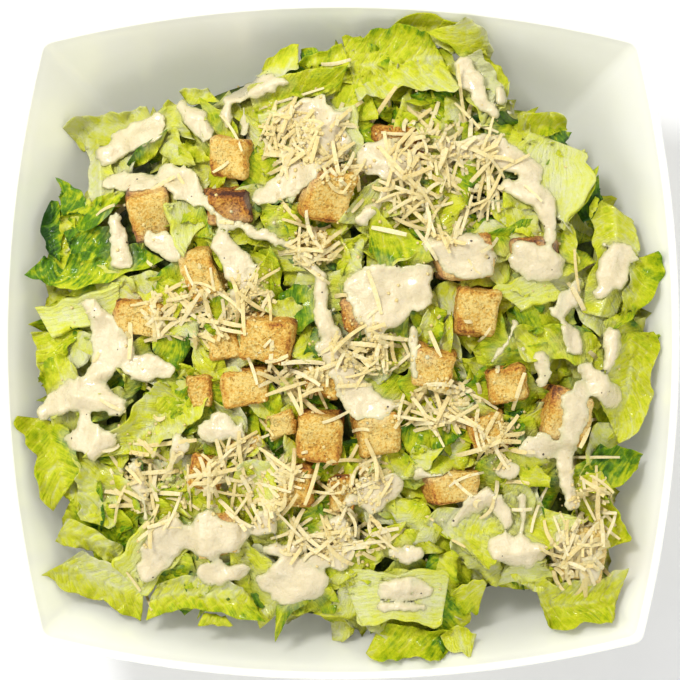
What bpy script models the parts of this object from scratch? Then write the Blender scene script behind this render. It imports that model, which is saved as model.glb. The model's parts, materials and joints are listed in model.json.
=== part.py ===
"""A caesar salad in a square white bowl: the bowl, the heap of dressed romaine and the croutons.

Units are metres, Z is up, and the origin is on the ground under the middle of the bowl. Positions in
the lists are millimetres from the bowl's centre, X to the right and Y to the back as seen from above.
"""

import math
import random
from itertools import product

import bmesh
import bpy
import numpy as np
from mathutils import Matrix, Vector

for old in list(bpy.data.objects):
    bpy.data.objects.remove(old, do_unlink=True)

MM = 0.001

# Driving sizes of the bowl
RIM_HALF = 0.127  # centre to the middle of a side, outside
CORNER_HALF = 0.113  # centre to a corner, along X
CORNER_ROUND = 0.005
BOWL_HEIGHT = 0.080
WALL = 0.003
RIM_EDGE = 0.0008  # rounding of the rim's two edges
FOOT_HALF = 0.062
FOOT_WIDTH = 0.006
FOOT_HEIGHT = 0.004
FOOT_HOLLOW = 0.002
FLOOR_THICK = 0.007
BELLY = (0.0995, 0.012)  # half-width and height that the wall's curve bends towards
BELLY_SQUARENESS = 2.8  # 2 is a circle, higher is squarer
ROUNDING_FALL = 1.5  # how fast the rounder outline gives way to the rim's towards the top
FLOOR_INSET = 0.7  # share of the wall's thickness that is taken off at the floor
BELLY_LIFT = 0.8  # share of the floor's thickness by which the inner curve's bend is higher
SIDE_STEPS = 8
CORNER_STEPS = 3
WALL_STEPS = 7

# The heap
BED_CROWN = 0.010  # packed salad over the rim, at the centre
BED_FALL = 0.026  # how far it falls from there to the wall
BED_GAP = 0.0010  # between the salad and the bowl
BED_RINGS = 5
BED_WALL_STEPS = 4
BED_WALL_SPREAD = 1.4  # over 1, the rings up the wall lie closer together low down
BED_EDGE_TURNS = 12  # turns of closing in on the height where the heap's top meets the wall
CORNER_HOLLOWS = (  # x, y, depth and spread of the places where the heap falls away
    (-104, 104, 34, 46),
    (104, 108, 26, 42),
    (-104, -106, 14, 34),
    (66, -116, 8, 26),
)

LEAF_THICK = 0.0012
RIB_THICK = 0.0030
LEAF_CLEAR = 0.0008
CROUTON_CLEAR = 0.0003
SMALLEST_EDGE = 0.00002


# The bowl's outline and wall


def rim_radius(angle):
    """Distance from the centre to the outside of the rim: four bulging sides and rounded corners."""
    bulge = RIM_HALF - CORNER_HALF
    side_radius = (CORNER_HALF**2 + bulge**2) / (2 * bulge)
    back = side_radius - RIM_HALF
    turned = np.mod(angle + math.pi / 4, math.pi / 2) - math.pi / 4
    side = -back * np.cos(turned) + np.sqrt(side_radius**2 - (back * np.sin(turned)) ** 2)
    half_corner = math.pi / 4 + math.asin(CORNER_HALF / side_radius)
    centre = CORNER_HALF * math.sqrt(2) - CORNER_ROUND / math.sin(half_corner)
    off = math.pi / 4 - np.abs(turned)
    reach = np.minimum(centre * np.sin(off), CORNER_ROUND)
    corner = centre * np.cos(off) + np.sqrt(CORNER_ROUND**2 - reach**2)
    return np.where(off < corner_share(), corner, side)


def corner_share():
    """Half the angle, seen from the centre, that a corner's rounding takes up."""
    bulge = RIM_HALF - CORNER_HALF
    side_radius = (CORNER_HALF**2 + bulge**2) / (2 * bulge)
    half_corner = math.pi / 4 + math.asin(CORNER_HALF / side_radius)
    return math.atan(CORNER_ROUND * math.cos(half_corner) / (CORNER_HALF * math.sqrt(2) - CORNER_ROUND))


def belly_radius(angle):
    """The rounder outline that the wall takes lower down."""
    power = BELLY_SQUARENESS
    return RIM_HALF / (np.abs(np.cos(angle)) ** power + np.abs(np.sin(angle)) ** power) ** (1 / power)


def outline(angle, half, roundness):
    """Radius of the bowl where its half-width and its share of the rounder outline are given."""
    mixed = (1 - roundness) * rim_radius(angle) + roundness * belly_radius(angle)
    return half / RIM_HALF * mixed


def wall_curve(step, inset, lift):
    """Half-width, height and roundness along the wall, from the floor at 0 to the rim at 1."""
    start = (FOOT_HALF - inset * FLOOR_INSET, FOOT_HEIGHT + lift)
    bend = (BELLY[0] - inset, BELLY[1] + lift * BELLY_LIFT)
    end = (RIM_HALF - inset, BOWL_HEIGHT)
    weights = ((1 - step) ** 2, 2 * step * (1 - step), step**2)
    half = weights[0] * start[0] + weights[1] * bend[0] + weights[2] * end[0]
    height = weights[0] * start[1] + weights[1] * bend[1] + weights[2] * end[1]
    return half, height, (1 - step) ** ROUNDING_FALL


def rim_angles():
    """Directions round the bowl, closer together at its corners."""
    share = corner_share()
    turns = []
    for quarter in range(4):
        middle = quarter * math.pi / 2
        turns += list(middle + np.linspace(-math.pi / 4 + share, math.pi / 4 - share, SIDE_STEPS + 1))
        corner = np.linspace(-share, share, CORNER_STEPS + 1)[1:-1]
        turns += list(middle + math.pi / 4 + corner)
    return np.array(turns)


INNER_LEVEL_COUNT = 25
INNER_LEVELS = [
    wall_curve(step, WALL, FLOOR_THICK - FOOT_HEIGHT) for step in np.linspace(0, 1, INNER_LEVEL_COUNT)
]


def wall_reach(angle, height):
    """Inside radius of the bowl at a height."""
    heights = [level[1] for level in INNER_LEVELS]
    half = np.interp(height, heights, [level[0] for level in INNER_LEVELS])
    roundness = np.interp(height, heights, [level[2] for level in INNER_LEVELS])
    return outline(angle, half, roundness)


def wall_height(x, y):
    """Height of the bowl's inner surface under a point."""
    angle = np.arctan2(y, x)
    radius = np.hypot(x, y)
    found = np.full(np.shape(radius), INNER_LEVELS[0][1])
    for low, high in zip(INNER_LEVELS, INNER_LEVELS[1:]):
        inner = outline(angle, low[0], low[2])
        outer = outline(angle, high[0], high[2])
        share = np.clip((radius - inner) / (outer - inner), 0, 1)
        found = found + share * (high[1] - low[1])
    return found


# Mesh helpers


def mesh_object(name, points, faces):
    mesh = bpy.data.meshes.new(name)
    mesh.from_pydata([tuple(point) for point in points], [], faces)
    shape = bmesh.new()
    shape.from_mesh(mesh)
    bmesh.ops.triangulate(shape, faces=[face for face in shape.faces if len(face.verts) > 4])
    bmesh.ops.recalc_face_normals(shape, faces=shape.faces)
    shape.to_mesh(mesh)
    shape.free()
    made = bpy.data.objects.new(name, mesh)
    bpy.context.collection.objects.link(made)
    return made


def loft(name, rings):
    """A closed body through rings of equal length, each end closed by a face."""
    count = len(rings[0])
    points = [point for ring in rings for point in ring]
    faces = [list(range(count))]
    for row in range(len(rings) - 1):
        for column in range(count):
            after = (column + 1) % count
            low, high = row * count, (row + 1) * count
            faces.append([low + column, low + after, high + after, high + column])
    faces.append(list(range(len(points) - count, len(points))))
    return mesh_object(name, points, faces)


def level_ring(angles, half, height, roundness):
    radius = outline(angles, half, roundness)
    return np.stack([radius * np.cos(angles), radius * np.sin(angles), np.full_like(radius, height)], 1)


# The bowl


def build_bowl():
    """A footed bowl, square and bulging at the rim, with an even wall."""
    angles = rim_angles()
    rings = [
        level_ring(angles, FOOT_HALF - FOOT_WIDTH - FOOT_HOLLOW, FOOT_HOLLOW, 1),
        level_ring(angles, FOOT_HALF - FOOT_WIDTH, 0, 1),
        level_ring(angles, FOOT_HALF - RIM_EDGE, 0, 1),
    ]
    for step in np.linspace(0, 1, WALL_STEPS)[:-1]:
        rings.append(level_ring(angles, *wall_curve(step, 0, 0)))
    rings += [
        level_ring(angles, RIM_HALF, BOWL_HEIGHT - RIM_EDGE, 0),
        level_ring(angles, RIM_HALF - RIM_EDGE, BOWL_HEIGHT, 0),
        level_ring(angles, RIM_HALF - WALL + RIM_EDGE, BOWL_HEIGHT, 0),
        level_ring(angles, RIM_HALF - WALL, BOWL_HEIGHT - RIM_EDGE, 0),
    ]
    for step in np.linspace(1, 0, WALL_STEPS + 1)[1:]:
        rings.append(level_ring(angles, *wall_curve(step, WALL, FLOOR_THICK - FOOT_HEIGHT)))
    return loft("bowl", rings)


# The surface that pieces are laid on, kept as heights on a square grid

CELL = 0.002
SPAN = 0.132
AXIS = np.arange(-SPAN, SPAN + CELL / 2, CELL)
GRID_X, GRID_Y = np.meshgrid(AXIS, AXIS)


def bed_height(x, y):
    """Top of the packed salad: a low dome that falls away at the corners."""
    share = np.hypot(x, y) / rim_radius(np.arctan2(y, x))
    height = BOWL_HEIGHT + BED_CROWN - BED_FALL * share**3
    for centre_x, centre_y, depth, spread in CORNER_HOLLOWS:
        away = np.hypot(x - centre_x * MM, y - centre_y * MM) / (spread * MM)
        height = height - depth * MM * np.exp(-(away**2))
    return height


surface = np.maximum(bed_height(GRID_X, GRID_Y), wall_height(GRID_X, GRID_Y) + BED_GAP)


def sample(heights, x, y):
    """Height of the grid under points, read between its cells."""
    column = np.clip((x + SPAN) / CELL, 0, len(AXIS) - 1.001)
    row = np.clip((y + SPAN) / CELL, 0, len(AXIS) - 1.001)
    left, low = column.astype(int), row.astype(int)
    across, up = column - left, row - low
    near = heights[low, left] * (1 - across) + heights[low, left + 1] * across
    far = heights[low + 1, left] * (1 - across) + heights[low + 1, left + 1] * across
    return near * (1 - up) + far * up


def softened(heights, turns):
    """The grid after some turns of averaging each cell with its neighbours."""
    for _ in range(turns):
        wide = np.pad(heights, 1, mode="edge")
        rows = (wide[:-2] + wide[1:-1] + wide[2:]) / 3
        heights = (rows[:, :-2] + rows[:, 1:-1] + rows[:, 2:]) / 3
    return heights


def raise_surface(x, y, z):
    """Lifts the grid to the tops of a piece that has been laid down."""
    column = np.clip(np.rint((x + SPAN) / CELL).astype(int), 0, len(AXIS) - 1)
    row = np.clip(np.rint((y + SPAN) / CELL).astype(int), 0, len(AXIS) - 1)
    np.maximum.at(surface, (row, column), z)


def inside_rim(x, y):
    """Draws points in from the rim, so that nothing hangs over it."""
    limit = outline(np.arctan2(y, x), RIM_HALF - WALL - LEAF_CLEAR, 0)
    share = np.minimum(1, limit / np.maximum(np.hypot(x, y), MM))
    return x * share, y * share


# The packed salad under the pieces


def build_bed():
    """The core of the heap, a little smaller than the bowl's inside all round."""
    angles = rim_angles()
    floor = FLOOR_THICK + 2 * BED_GAP
    top = BOWL_HEIGHT
    for _ in range(BED_EDGE_TURNS):
        radius = wall_reach(angles, top - BED_GAP) - BED_GAP
        top = bed_height(radius * np.cos(angles), radius * np.sin(angles))
    rings = []
    for step in np.linspace(0, 1, BED_WALL_STEPS + 1):
        height = floor + (top - floor) * step**BED_WALL_SPREAD
        radius = wall_reach(angles, height - BED_GAP) - BED_GAP
        rings.append(np.stack([radius * np.cos(angles), radius * np.sin(angles), height], 1))
    for share in np.linspace(1, 0, BED_RINGS + 1)[1:-1]:
        x, y = rings[BED_WALL_STEPS][:, 0] * share, rings[BED_WALL_STEPS][:, 1] * share
        rings.append(np.stack([x, y, bed_height(x, y)], 1))
    return loft("salad", rings)


# Romaine: form, layer, cup, the widths at both ends and the points of the middle line.
# Layer 0 lies under the croutons, layer 1 over them.

LEAVES = (
    # Back left
    ("frill", 0, 3, (12, 11), ((-104, 77), (-87, 81), (-70, 84))),
    ("fold", 0, 2, (11, 9), ((-93, 78), (-91, 64), (-90, 50))),
    ("blade", 0, 2, (6, 5), ((-60, 92), (-47, 92))),
    ("frill", 0, 2, (12, 11), ((-71, 86), (-63, 83), (-56, 78))),
    ("blade", 0, 2, (12, 11), ((-52, 87), (-46, 80), (-41, 72))),
    ("blade", 0, 1, (6, 6), ((-65, 77), (-80, 65))),
    ("blade", 0, 1, (9, 8), ((-108, 54), (-109, 41), (-107, 30))),
    ("blade", 0, 1, (10, 9), ((-107, 59), (-102, 53), (-98, 47))),
    ("blade", 0, 2, (10, 9), ((-105, 41), (-80, 55))),
    ("rib", 1, 1, (12, 11), ((-59, 53), (-55, 36))),
    ("blade", 0, 1, (8, 8), ((-61, 72), (-52, 66))),
    ("blade", 0, 1, (5, 4), ((-63, 57), (-63, 42))),
    # Back
    ("blade", 0, 2, (12, 10), ((22, 118), (37, 116), (50, 108))),
    ("blade", 0, 1, (8, 8), ((-15, 109), (-6, 103))),
    ("blade", 0, 2, (10, 10), ((-31, 100), (-15, 107))),
    ("blade", 0, 2, (9, 9), ((-13, 101), (3, 107))),
    ("blade", 0, 1, (11, 9), ((-35, 90), (-17, 94), (3, 98))),
    ("crinkle", 0, 3, (26, 24), ((2, 103), (20, 104), (40, 107))),
    ("rib", 0, 1, (12, 12), ((0, 87), (4, 65))),
    ("rib", 0, 1, (16, 14), ((-30, 78), (-10, 70))),
    ("blade", 0, 2, (13, 12), ((-30, 50), (-16, 37))),
    ("blade", 1, 1, (15, 13), ((3, 50), (20, 53), (36, 59))),
    ("blade", 1, 1, (9, 8), ((31, 66), (37, 53))),
    ("blade", 1, 2, (15, 13), ((10, 40), (30, 27))),
    # Back right
    ("blade", 0, 2, (12, 11), ((39, 118), (49, 112), (58, 107))),
    ("blade", 0, 1, (9, 8), ((53, 107), (61, 95))),
    ("blade", 0, 1, (10, 9), ((48, 81), (66, 81))),
    ("frill", 0, 2, (12, 12), ((51, 84), (61, 95))),
    ("blade", 0, 1, (5, 5), ((78, 75), (88, 78))),
    ("frill", 0, 3, (10, 9), ((66, 77), (76, 81), (87, 81))),
    ("rib", 0, 1, (30, 9), ((80, 73), (82, 59), (82, 44))),
    ("blade", 0, 1, (9, 9), ((89, 47), (98, 58))),
    ("blade", 0, 0, (5, 4), ((97, 66), (91, 54), (83, 43))),
    ("fold", 0, 2, (18, 15), ((103, 52), (103, 30), (96, 7))),
    ("blade", 0, 1, (13, 11), ((52, 50), (67, 46), (81, 40))),
    # Left
    ("blade", 0, 1, (9, 8), ((-116, 28), (-101, 22))),
    ("blade", 0, 1, (12, 11), ((-103, 36), (-83, 36))),
    ("blade", 0, 2, (13, 10), ((-106, 25), (-87, 28), (-69, 33))),
    ("blade", 0, 1, (19, 6), ((-107, 4), (-110, -12))),
    ("rib", 0, 1, (12, 9), ((-113, 7), (-98, 10), (-81, 17))),
    ("frill", 0, 2, (15, 13), ((-111, -22), (-101, -7))),
    ("crinkle", 0, 2, (19, 16), ((-111, -29), (-107, -43), (-103, -59))),
    ("frill", 0, 2, (10, 9), ((-99, -29), (-78, -20))),
    ("crinkle", 0, 3, (18, 17), ((-56, -18), (-67, -29), (-84, -44))),
    # Centre
    ("crinkle", 0, 1, (12, 12), ((-12, 0), (-1, -4))),
    ("blade", 0, 1, (10, 9), ((-27, 32), (-25, 11))),
    ("blade", 0, 1, (10, 9), ((-24, 15), (-12, 5))),
    ("crinkle", 0, 1, (9, 9), ((4, 36), (4, 18))),
    ("blade", 0, 2, (12, 11), ((9, 29), (30, 37))),
    ("blade", 0, 1, (8, 7), ((24, 24), (31, 17))),
    ("blade", 0, 1, (5, 5), ((3, -4), (20, 0))),
    ("blade", 0, 1, (10, 9), ((6, -13), (21, -10))),
    ("blade", 0, 1, (9, 8), ((33, 11), (35, -2))),
    ("blade", 0, 2, (12, 11), ((33, -38), (46, -26))),
    ("blade", 0, 1, (10, 9), ((24, -47), (36, -40))),
    # Right
    ("blade", 0, 1, (7, 7), ((84, 42), (86, 28))),
    ("frill", 0, 2, (12, 11), ((115, 33), (112, 18), (104, 7))),
    ("blade", 0, 1, (5, 4), ((115, 1), (120, 0))),
    ("crinkle", 0, 3, (21, 17), ((108, 4), (109, -15), (101, -34))),
    ("blade", 0, 1, (9, 8), ((64, -26), (64, -39))),
    ("blade", 0, 2, (16, 14), ((90, -45), (102, -47), (114, -45))),
    ("rib", 1, 1, (12, 10), ((61, 15), (80, 21))),
    ("frill", 1, 2, (14, 12), ((64, -1), (81, -1), (97, -6))),
    # Front left
    ("blade", 0, 1, (8, 7), ((-107, -72), (-93, -76), (-80, -84))),
    ("frill", 0, 2, (14, 13), ((-106, -85), (-90, -92), (-73, -100))),
    ("frill", 0, 2, (18, 15), ((-91, -44), (-89, -57), (-92, -70))),
    ("blade", 0, 2, (12, 11), ((-73, -98), (-52, -95), (-30, -100))),
    ("blade", 0, 0, (5, 4), ((-53, -105), (-41, -106))),
    ("rib", 0, 1, (19, 17), ((-81, -91), (-70, -80), (-60, -68))),
    # Front
    ("blade", 0, 1, (9, 9), ((19, -68), (12, -78), (3, -84))),
    ("blade", 0, 1, (12, 11), ((-12, -84), (1, -93))),
    ("fold", 0, 1, (10, 9), ((-1, -94), (-15, -94), (-25, -111))),
    ("frill", 0, 2, (12, 11), ((11, -113), (28, -114), (45, -115))),
    ("rib", 0, 1, (21, 19), ((3, -98), (22, -96), (41, -98))),
    ("blade", 0, 1, (15, 14), ((42, -96), (54, -97))),
    ("blade", 0, 1, (10, 9), ((38, -111), (51, -115))),
    # Front right
    ("crinkle", 0, 3, (26, 22), ((41, -76), (61, -70), (80, -63))),
    ("blade", 0, 1, (10, 9), ((67, -44), (75, -55))),
    ("blade", 0, 1, (9, 8), ((82, -55), (101, -53))),
    ("blade", 0, 2, (12, 11), ((98, -61), (104, -78))),
    ("crinkle", 0, 3, (19, 17), ((74, -98), (91, -99), (107, -94))),
    ("rib", 0, 1, (8, 7), ((60, -88), (79, -86))),
)

LEAF_SEED = 40
FRILL = {"blade": 1.0, "rib": 0.3, "frill": 2.8, "crinkle": 1.6, "fold": 0.8}
CUPPING = 2.0
FOLD_DEPTH = 6.0
LEAF_SOFTENING = 6
MOST_PUSH = 5.0
SHOWN_FROM = 20  # percent of a leaf that may lie under what is there already
TOUCHING = 25  # percent of a leaf that touches what it lies on
TOUCH_DEPTH = 0.0007
LEAF_TILT = 5.0  # millimetres, as are the three after it
LEAF_ROLL = 3.0
LEAF_ARCH = (-0.5, 2.0)
LEAF_STEP_LENGTH = 10
LEAF_STEP_WIDTH = 9
LEAF_LONG_STEPS = (2, 5)  # fewest and most
LEAF_WIDE_STEPS = (2, 3)
LEAF_TIP_WIDTH = 0.3  # share of the full width at a leaf's ends
LEAF_TIP_BLUNTNESS = 5
RAGGED_WAVES = ((0.12, 1.3, 1), (0.06, 3.1, 2))  # height, turns along the leaf and share of the side's phase
FRILL_TURNS = 2.2
PUSH_SAMPLES = (33, 17)  # along and across a leaf


def line_point(points, along):
    """Point and direction on a middle line of two or three points."""
    first, last = np.array(points[0], float), np.array(points[-1], float)
    middle = np.array(points[1], float) if len(points) == 3 else (first + last) / 2
    along = np.asarray(along)[..., None]
    spot = (
        first * 2 * (along - 0.5) * (along - 1)
        + middle * 4 * along * (1 - along)
        + last * 2 * along * (along - 0.5)
    )
    heading = first * (4 * along - 3) + middle * (4 - 8 * along) + last * (4 * along - 1)
    return spot, heading / np.linalg.norm(heading, axis=-1, keepdims=True)


def leaf_form(index, along, across):
    """X, Y and relief in metres over a leaf, for shares along it (0 to 1) and across it (-1 to 1)."""
    form, _, cup, widths, points = LEAVES[index]
    draw = random.Random(LEAF_SEED + index)
    phases = [draw.uniform(0, math.tau) for _ in range(4)]
    tilt = draw.uniform(-LEAF_TILT, LEAF_TILT)
    roll = draw.uniform(-LEAF_ROLL, LEAF_ROLL)
    arch = draw.uniform(*LEAF_ARCH)
    spot, heading = line_point(points, along)
    side = np.where(across < 0, phases[0], phases[1])
    half = (widths[0] + (widths[1] - widths[0]) * along) / 2
    ends = LEAF_TIP_WIDTH + (1 - LEAF_TIP_WIDTH) * np.sqrt(1 - np.abs(2 * along - 1) ** LEAF_TIP_BLUNTNESS)
    ragged = 1
    for high, turns, share in RAGGED_WAVES:
        ragged = ragged + high * np.sin(math.tau * turns * along + share * side)
    reach = across * half * ends * ragged
    x = (spot[..., 0] - heading[..., 1] * reach) * MM
    y = (spot[..., 1] + heading[..., 0] * reach) * MM
    wave = FRILL[form] * across**2 * np.sin(math.tau * FRILL_TURNS * along + side + phases[2])
    fold = -FOLD_DEPTH * np.abs(across) if form == "fold" else 0
    relief = CUPPING * cup * across**2 + wave + fold
    relief = relief + tilt * (along - 0.5) + roll * across + arch * np.sin(math.pi * along)
    return x, y, relief * MM


def leaf_push(index, bed):
    """How far a leaf is moved up or down, so that most of it shows and part of it touches the heap."""
    along, across = np.meshgrid(np.linspace(0, 1, PUSH_SAMPLES[0]), np.linspace(-1, 1, PUSH_SAMPLES[1]))
    x, y, relief = leaf_form(index, along, across)
    x, y = inside_rim(x, y)
    over = sample(bed, x, y) + relief - sample(surface, x, y)
    hidden = min(-np.percentile(over, SHOWN_FROM), MOST_PUSH * MM)
    hovering = thickness(index) - TOUCH_DEPTH - np.percentile(over, TOUCHING)
    push = min(hidden, hovering)
    z = sample(bed, x, y) + relief + push
    return push, (x, y, np.maximum(z, wall_height(x, y) + thickness(index) + LEAF_CLEAR))


def thickness(index):
    return RIB_THICK if LEAVES[index][0] == "rib" else LEAF_THICK


def build_leaf(index):
    """A thin wavy solid laid on the heap, both faces split alike."""
    bed = softened(surface, LEAF_SOFTENING)
    push, tops = leaf_push(index, bed)
    widths, points = LEAVES[index][3], LEAVES[index][4]
    length = sum(math.dist(a, b) for a, b in zip(points, points[1:]))
    long_steps = int(np.clip(round(length / LEAF_STEP_LENGTH), *LEAF_LONG_STEPS))
    wide_steps = int(np.clip(round(max(widths) / LEAF_STEP_WIDTH), *LEAF_WIDE_STEPS))
    along, across = np.meshgrid(
        np.linspace(0, 1, long_steps + 1), np.linspace(-1, 1, wide_steps + 1), indexing="ij"
    )
    x, y, relief = leaf_form(index, along, across)
    x, y = inside_rim(x, y)
    thick = thickness(index)
    z = sample(bed, x, y) + relief + push
    z = np.maximum(z, wall_height(x, y) + thick + LEAF_CLEAR)
    raise_surface(*tops)
    return sheet("leaf", np.stack([x, y, z], -1), thick)


def sheet(name, top, thick):
    """A closed sheet from a grid of top points: both faces are split alike and meet along the edge."""
    rows, columns = top.shape[:2]
    upper = np.arange(rows * columns).reshape(rows, columns)
    lower = upper.copy()
    lower[1:-1, 1:-1] = rows * columns + np.arange((rows - 2) * (columns - 2)).reshape(rows - 2, columns - 2)
    points = np.concatenate([top.reshape(-1, 3), top[1:-1, 1:-1].reshape(-1, 3) - (0, 0, thick)])
    faces = []
    for row in range(rows - 1):
        for column in range(columns - 1):
            for spots in (((0, 0), (0, 1), (1, 0)), ((0, 1), (1, 1), (1, 0))):
                corners = [(row + down, column + right) for down, right in spots]
                faces.append([int(upper[corner]) for corner in corners])
                faces.append([int(lower[corner]) for corner in reversed(corners)])
    return mesh_object(name, points, split_corners(faces))


def split_corners(faces):
    """Drops the pairs of faces that a sheet's corners would fold flat on each other."""
    seen = {}
    for face in faces:
        seen.setdefault(tuple(sorted(face)), []).append(face)
    return [group[0] for group in seen.values() if len(group) == 1]


# Croutons: x, y, width, depth, height, turn, lean to the right, lean to the front, and rise over the bed

CROUTONS = (
    (-72, 48, 15, 19, 14, 8, 4, 16, 7),
    (-41, 67, 15, 16, 14, -5, -8, 6, 6),
    (-42, 50, 17, 13, 13, 4, 6, 8, 4),
    (-6, 54, 18, 20, 17, -10, 8, 20, 11),
    (22, 73, 21, 14, 13, -4, 0, -6, 1),
    (-9, 34, 13, 13, 12, 12, 0, 4, 2),
    (-50, 25, 14, 20, 13, 20, -8, 8, 5),
    (-75, 9, 19, 13, 12, -6, 0, 8, 4),
    (-52, -19, 10, 13, 12, 5, -6, 0, 2),
    (-44, -3, 12, 10, 11, 8, 0, -6, 1),
    (-26, 1, 20, 16, 14, -8, -4, 8, 7),
    (-35, -17, 18, 14, 13, 6, -6, 6, 5),
    (-7, -16, 13, 11, 12, -12, 6, 0, 3),
    (-22, -31, 11, 11, 11, 15, 0, 4, 4),
    (-7, -35, 17, 18, 15, -5, 4, 10, 7),
    (14, -35, 16, 16, 14, 10, 8, 6, 5),
    (35, -10, 17, 16, 14, -12, 4, 10, 6),
    (7, 11, 14, 14, 13, 14, 0, 6, 3),
    (45, 30, 22, 16, 14, 5, -4, 6, 6),
    (-35, -38, 12, 8, 10, -10, 0, 4, 2),
    (51, 10, 17, 19, 15, -6, 8, 8, 6),
    (73, 32, 19, 13, 13, 4, 0, 6, 4),
    (61, -16, 17, 15, 13, 10, 4, 8, 5),
    (83, -29, 18, 20, 15, -12, 8, 8, 6),
    (55, -34, 14, 13, 12, 16, 0, 6, 4),
    (-50, -49, 13, 13, 12, -14, -6, 6, 4),
    (-46, -71, 17, 17, 14, 8, -4, 8, 5),
    (-16, -53, 14, 17, 14, -8, -6, 6, 5),
    (0, -58, 10, 15, 13, 4, 6, 0, 3),
    (41, -55, 21, 14, 14, 6, 4, 10, 5),
    (10, -49, 7, 6, 8, 0, 0, 0, 1),
    (90, -81, 18, 21, 15, -6, 6, 6, 5),
)

CROUTON_SEED = 7
CROUTON_SOFTENING = 8
CORNER_SHRINK = (0.0, 0.07)  # how far a corner is drawn in, as a share of a side
CORNER_CUT = (0.07, 0.12)
COVER_STEPS = np.linspace(-0.48, 0.48, 13)  # places over a crouton of unit size
COVER_FROM = 0.47


def crouton_place(index):
    """Matrix that lays a crouton of unit size on the heap."""
    x, y, width, depth, height, turn, right, front, rise = CROUTONS[index]
    bed = softened(surface, CROUTON_SOFTENING)
    top = float(sample(bed, np.array(x * MM), np.array(y * MM))) + rise * MM
    middle = Vector((x * MM, y * MM, top - height * MM / 2))
    lean = Matrix.Rotation(math.radians(right), 4, "Y") @ Matrix.Rotation(math.radians(front), 4, "X")
    size = Matrix.Diagonal((width * MM, depth * MM, height * MM, 1))
    return Matrix.Translation(middle) @ lean @ Matrix.Rotation(math.radians(turn), 4, "Z") @ size


def crouton_corners(index):
    """The corners of an uneven cube, each cut off, within half a unit of its middle."""
    draw = random.Random(CROUTON_SEED + index)
    corners = []
    for sign_x in (-1, 1):
        for sign_y in (-1, 1):
            for sign_z in (-1, 1):
                shrink = [0.5 - draw.uniform(*CORNER_SHRINK) for _ in range(3)]
                cut = draw.uniform(*CORNER_CUT)
                for axis in range(3):
                    corner = [shrink[0] * sign_x, shrink[1] * sign_y, shrink[2] * sign_z]
                    corner = [value * (1 - 2 * cut) for value in corner]
                    corner[axis] = corner[axis] / (1 - 2 * cut)
                    corners.append(Vector(corner))
    return corners


def hull_object(name, points):
    shape = bmesh.new()
    for point in points:
        shape.verts.new(point)
    found = bmesh.ops.convex_hull(shape, input=shape.verts)
    loose = [part for part in found["geom_interior"] if isinstance(part, bmesh.types.BMVert)]
    bmesh.ops.delete(shape, geom=loose, context="VERTS")
    bmesh.ops.recalc_face_normals(shape, faces=shape.faces)
    mesh = bpy.data.meshes.new(name)
    shape.to_mesh(mesh)
    shape.free()
    made = bpy.data.objects.new(name, mesh)
    bpy.context.collection.objects.link(made)
    return made


def cover_crouton(place):
    """Lifts the grid over a crouton."""
    u, v, w = np.meshgrid(COVER_STEPS, COVER_STEPS, COVER_STEPS)
    shell = np.maximum.reduce([np.abs(u), np.abs(v), np.abs(w)]) > COVER_FROM
    points = np.stack([u[shell], v[shell], w[shell], np.ones(shell.sum())])
    world = np.array(place) @ points
    raise_surface(world[0], world[1], world[2])


def build_crouton(index):
    """A crouton and the slightly larger room that the salad leaves for it."""
    place = crouton_place(index)
    corners = crouton_corners(index)
    crouton = hull_object(f"crouton_{index + 1:02d}", [place @ corner for corner in corners])
    halves = [0.5 + CROUTON_CLEAR / (value * MM) for value in CROUTONS[index][2:5]]
    box = [Vector([half * sign for half, sign in zip(halves, signs)]) for signs in product((-1, 1), repeat=3)]
    room = hull_object("room", [place @ corner for corner in box])
    cover_crouton(place)
    return crouton, room


# Dressing: runs of points with the width of the run at each

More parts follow.
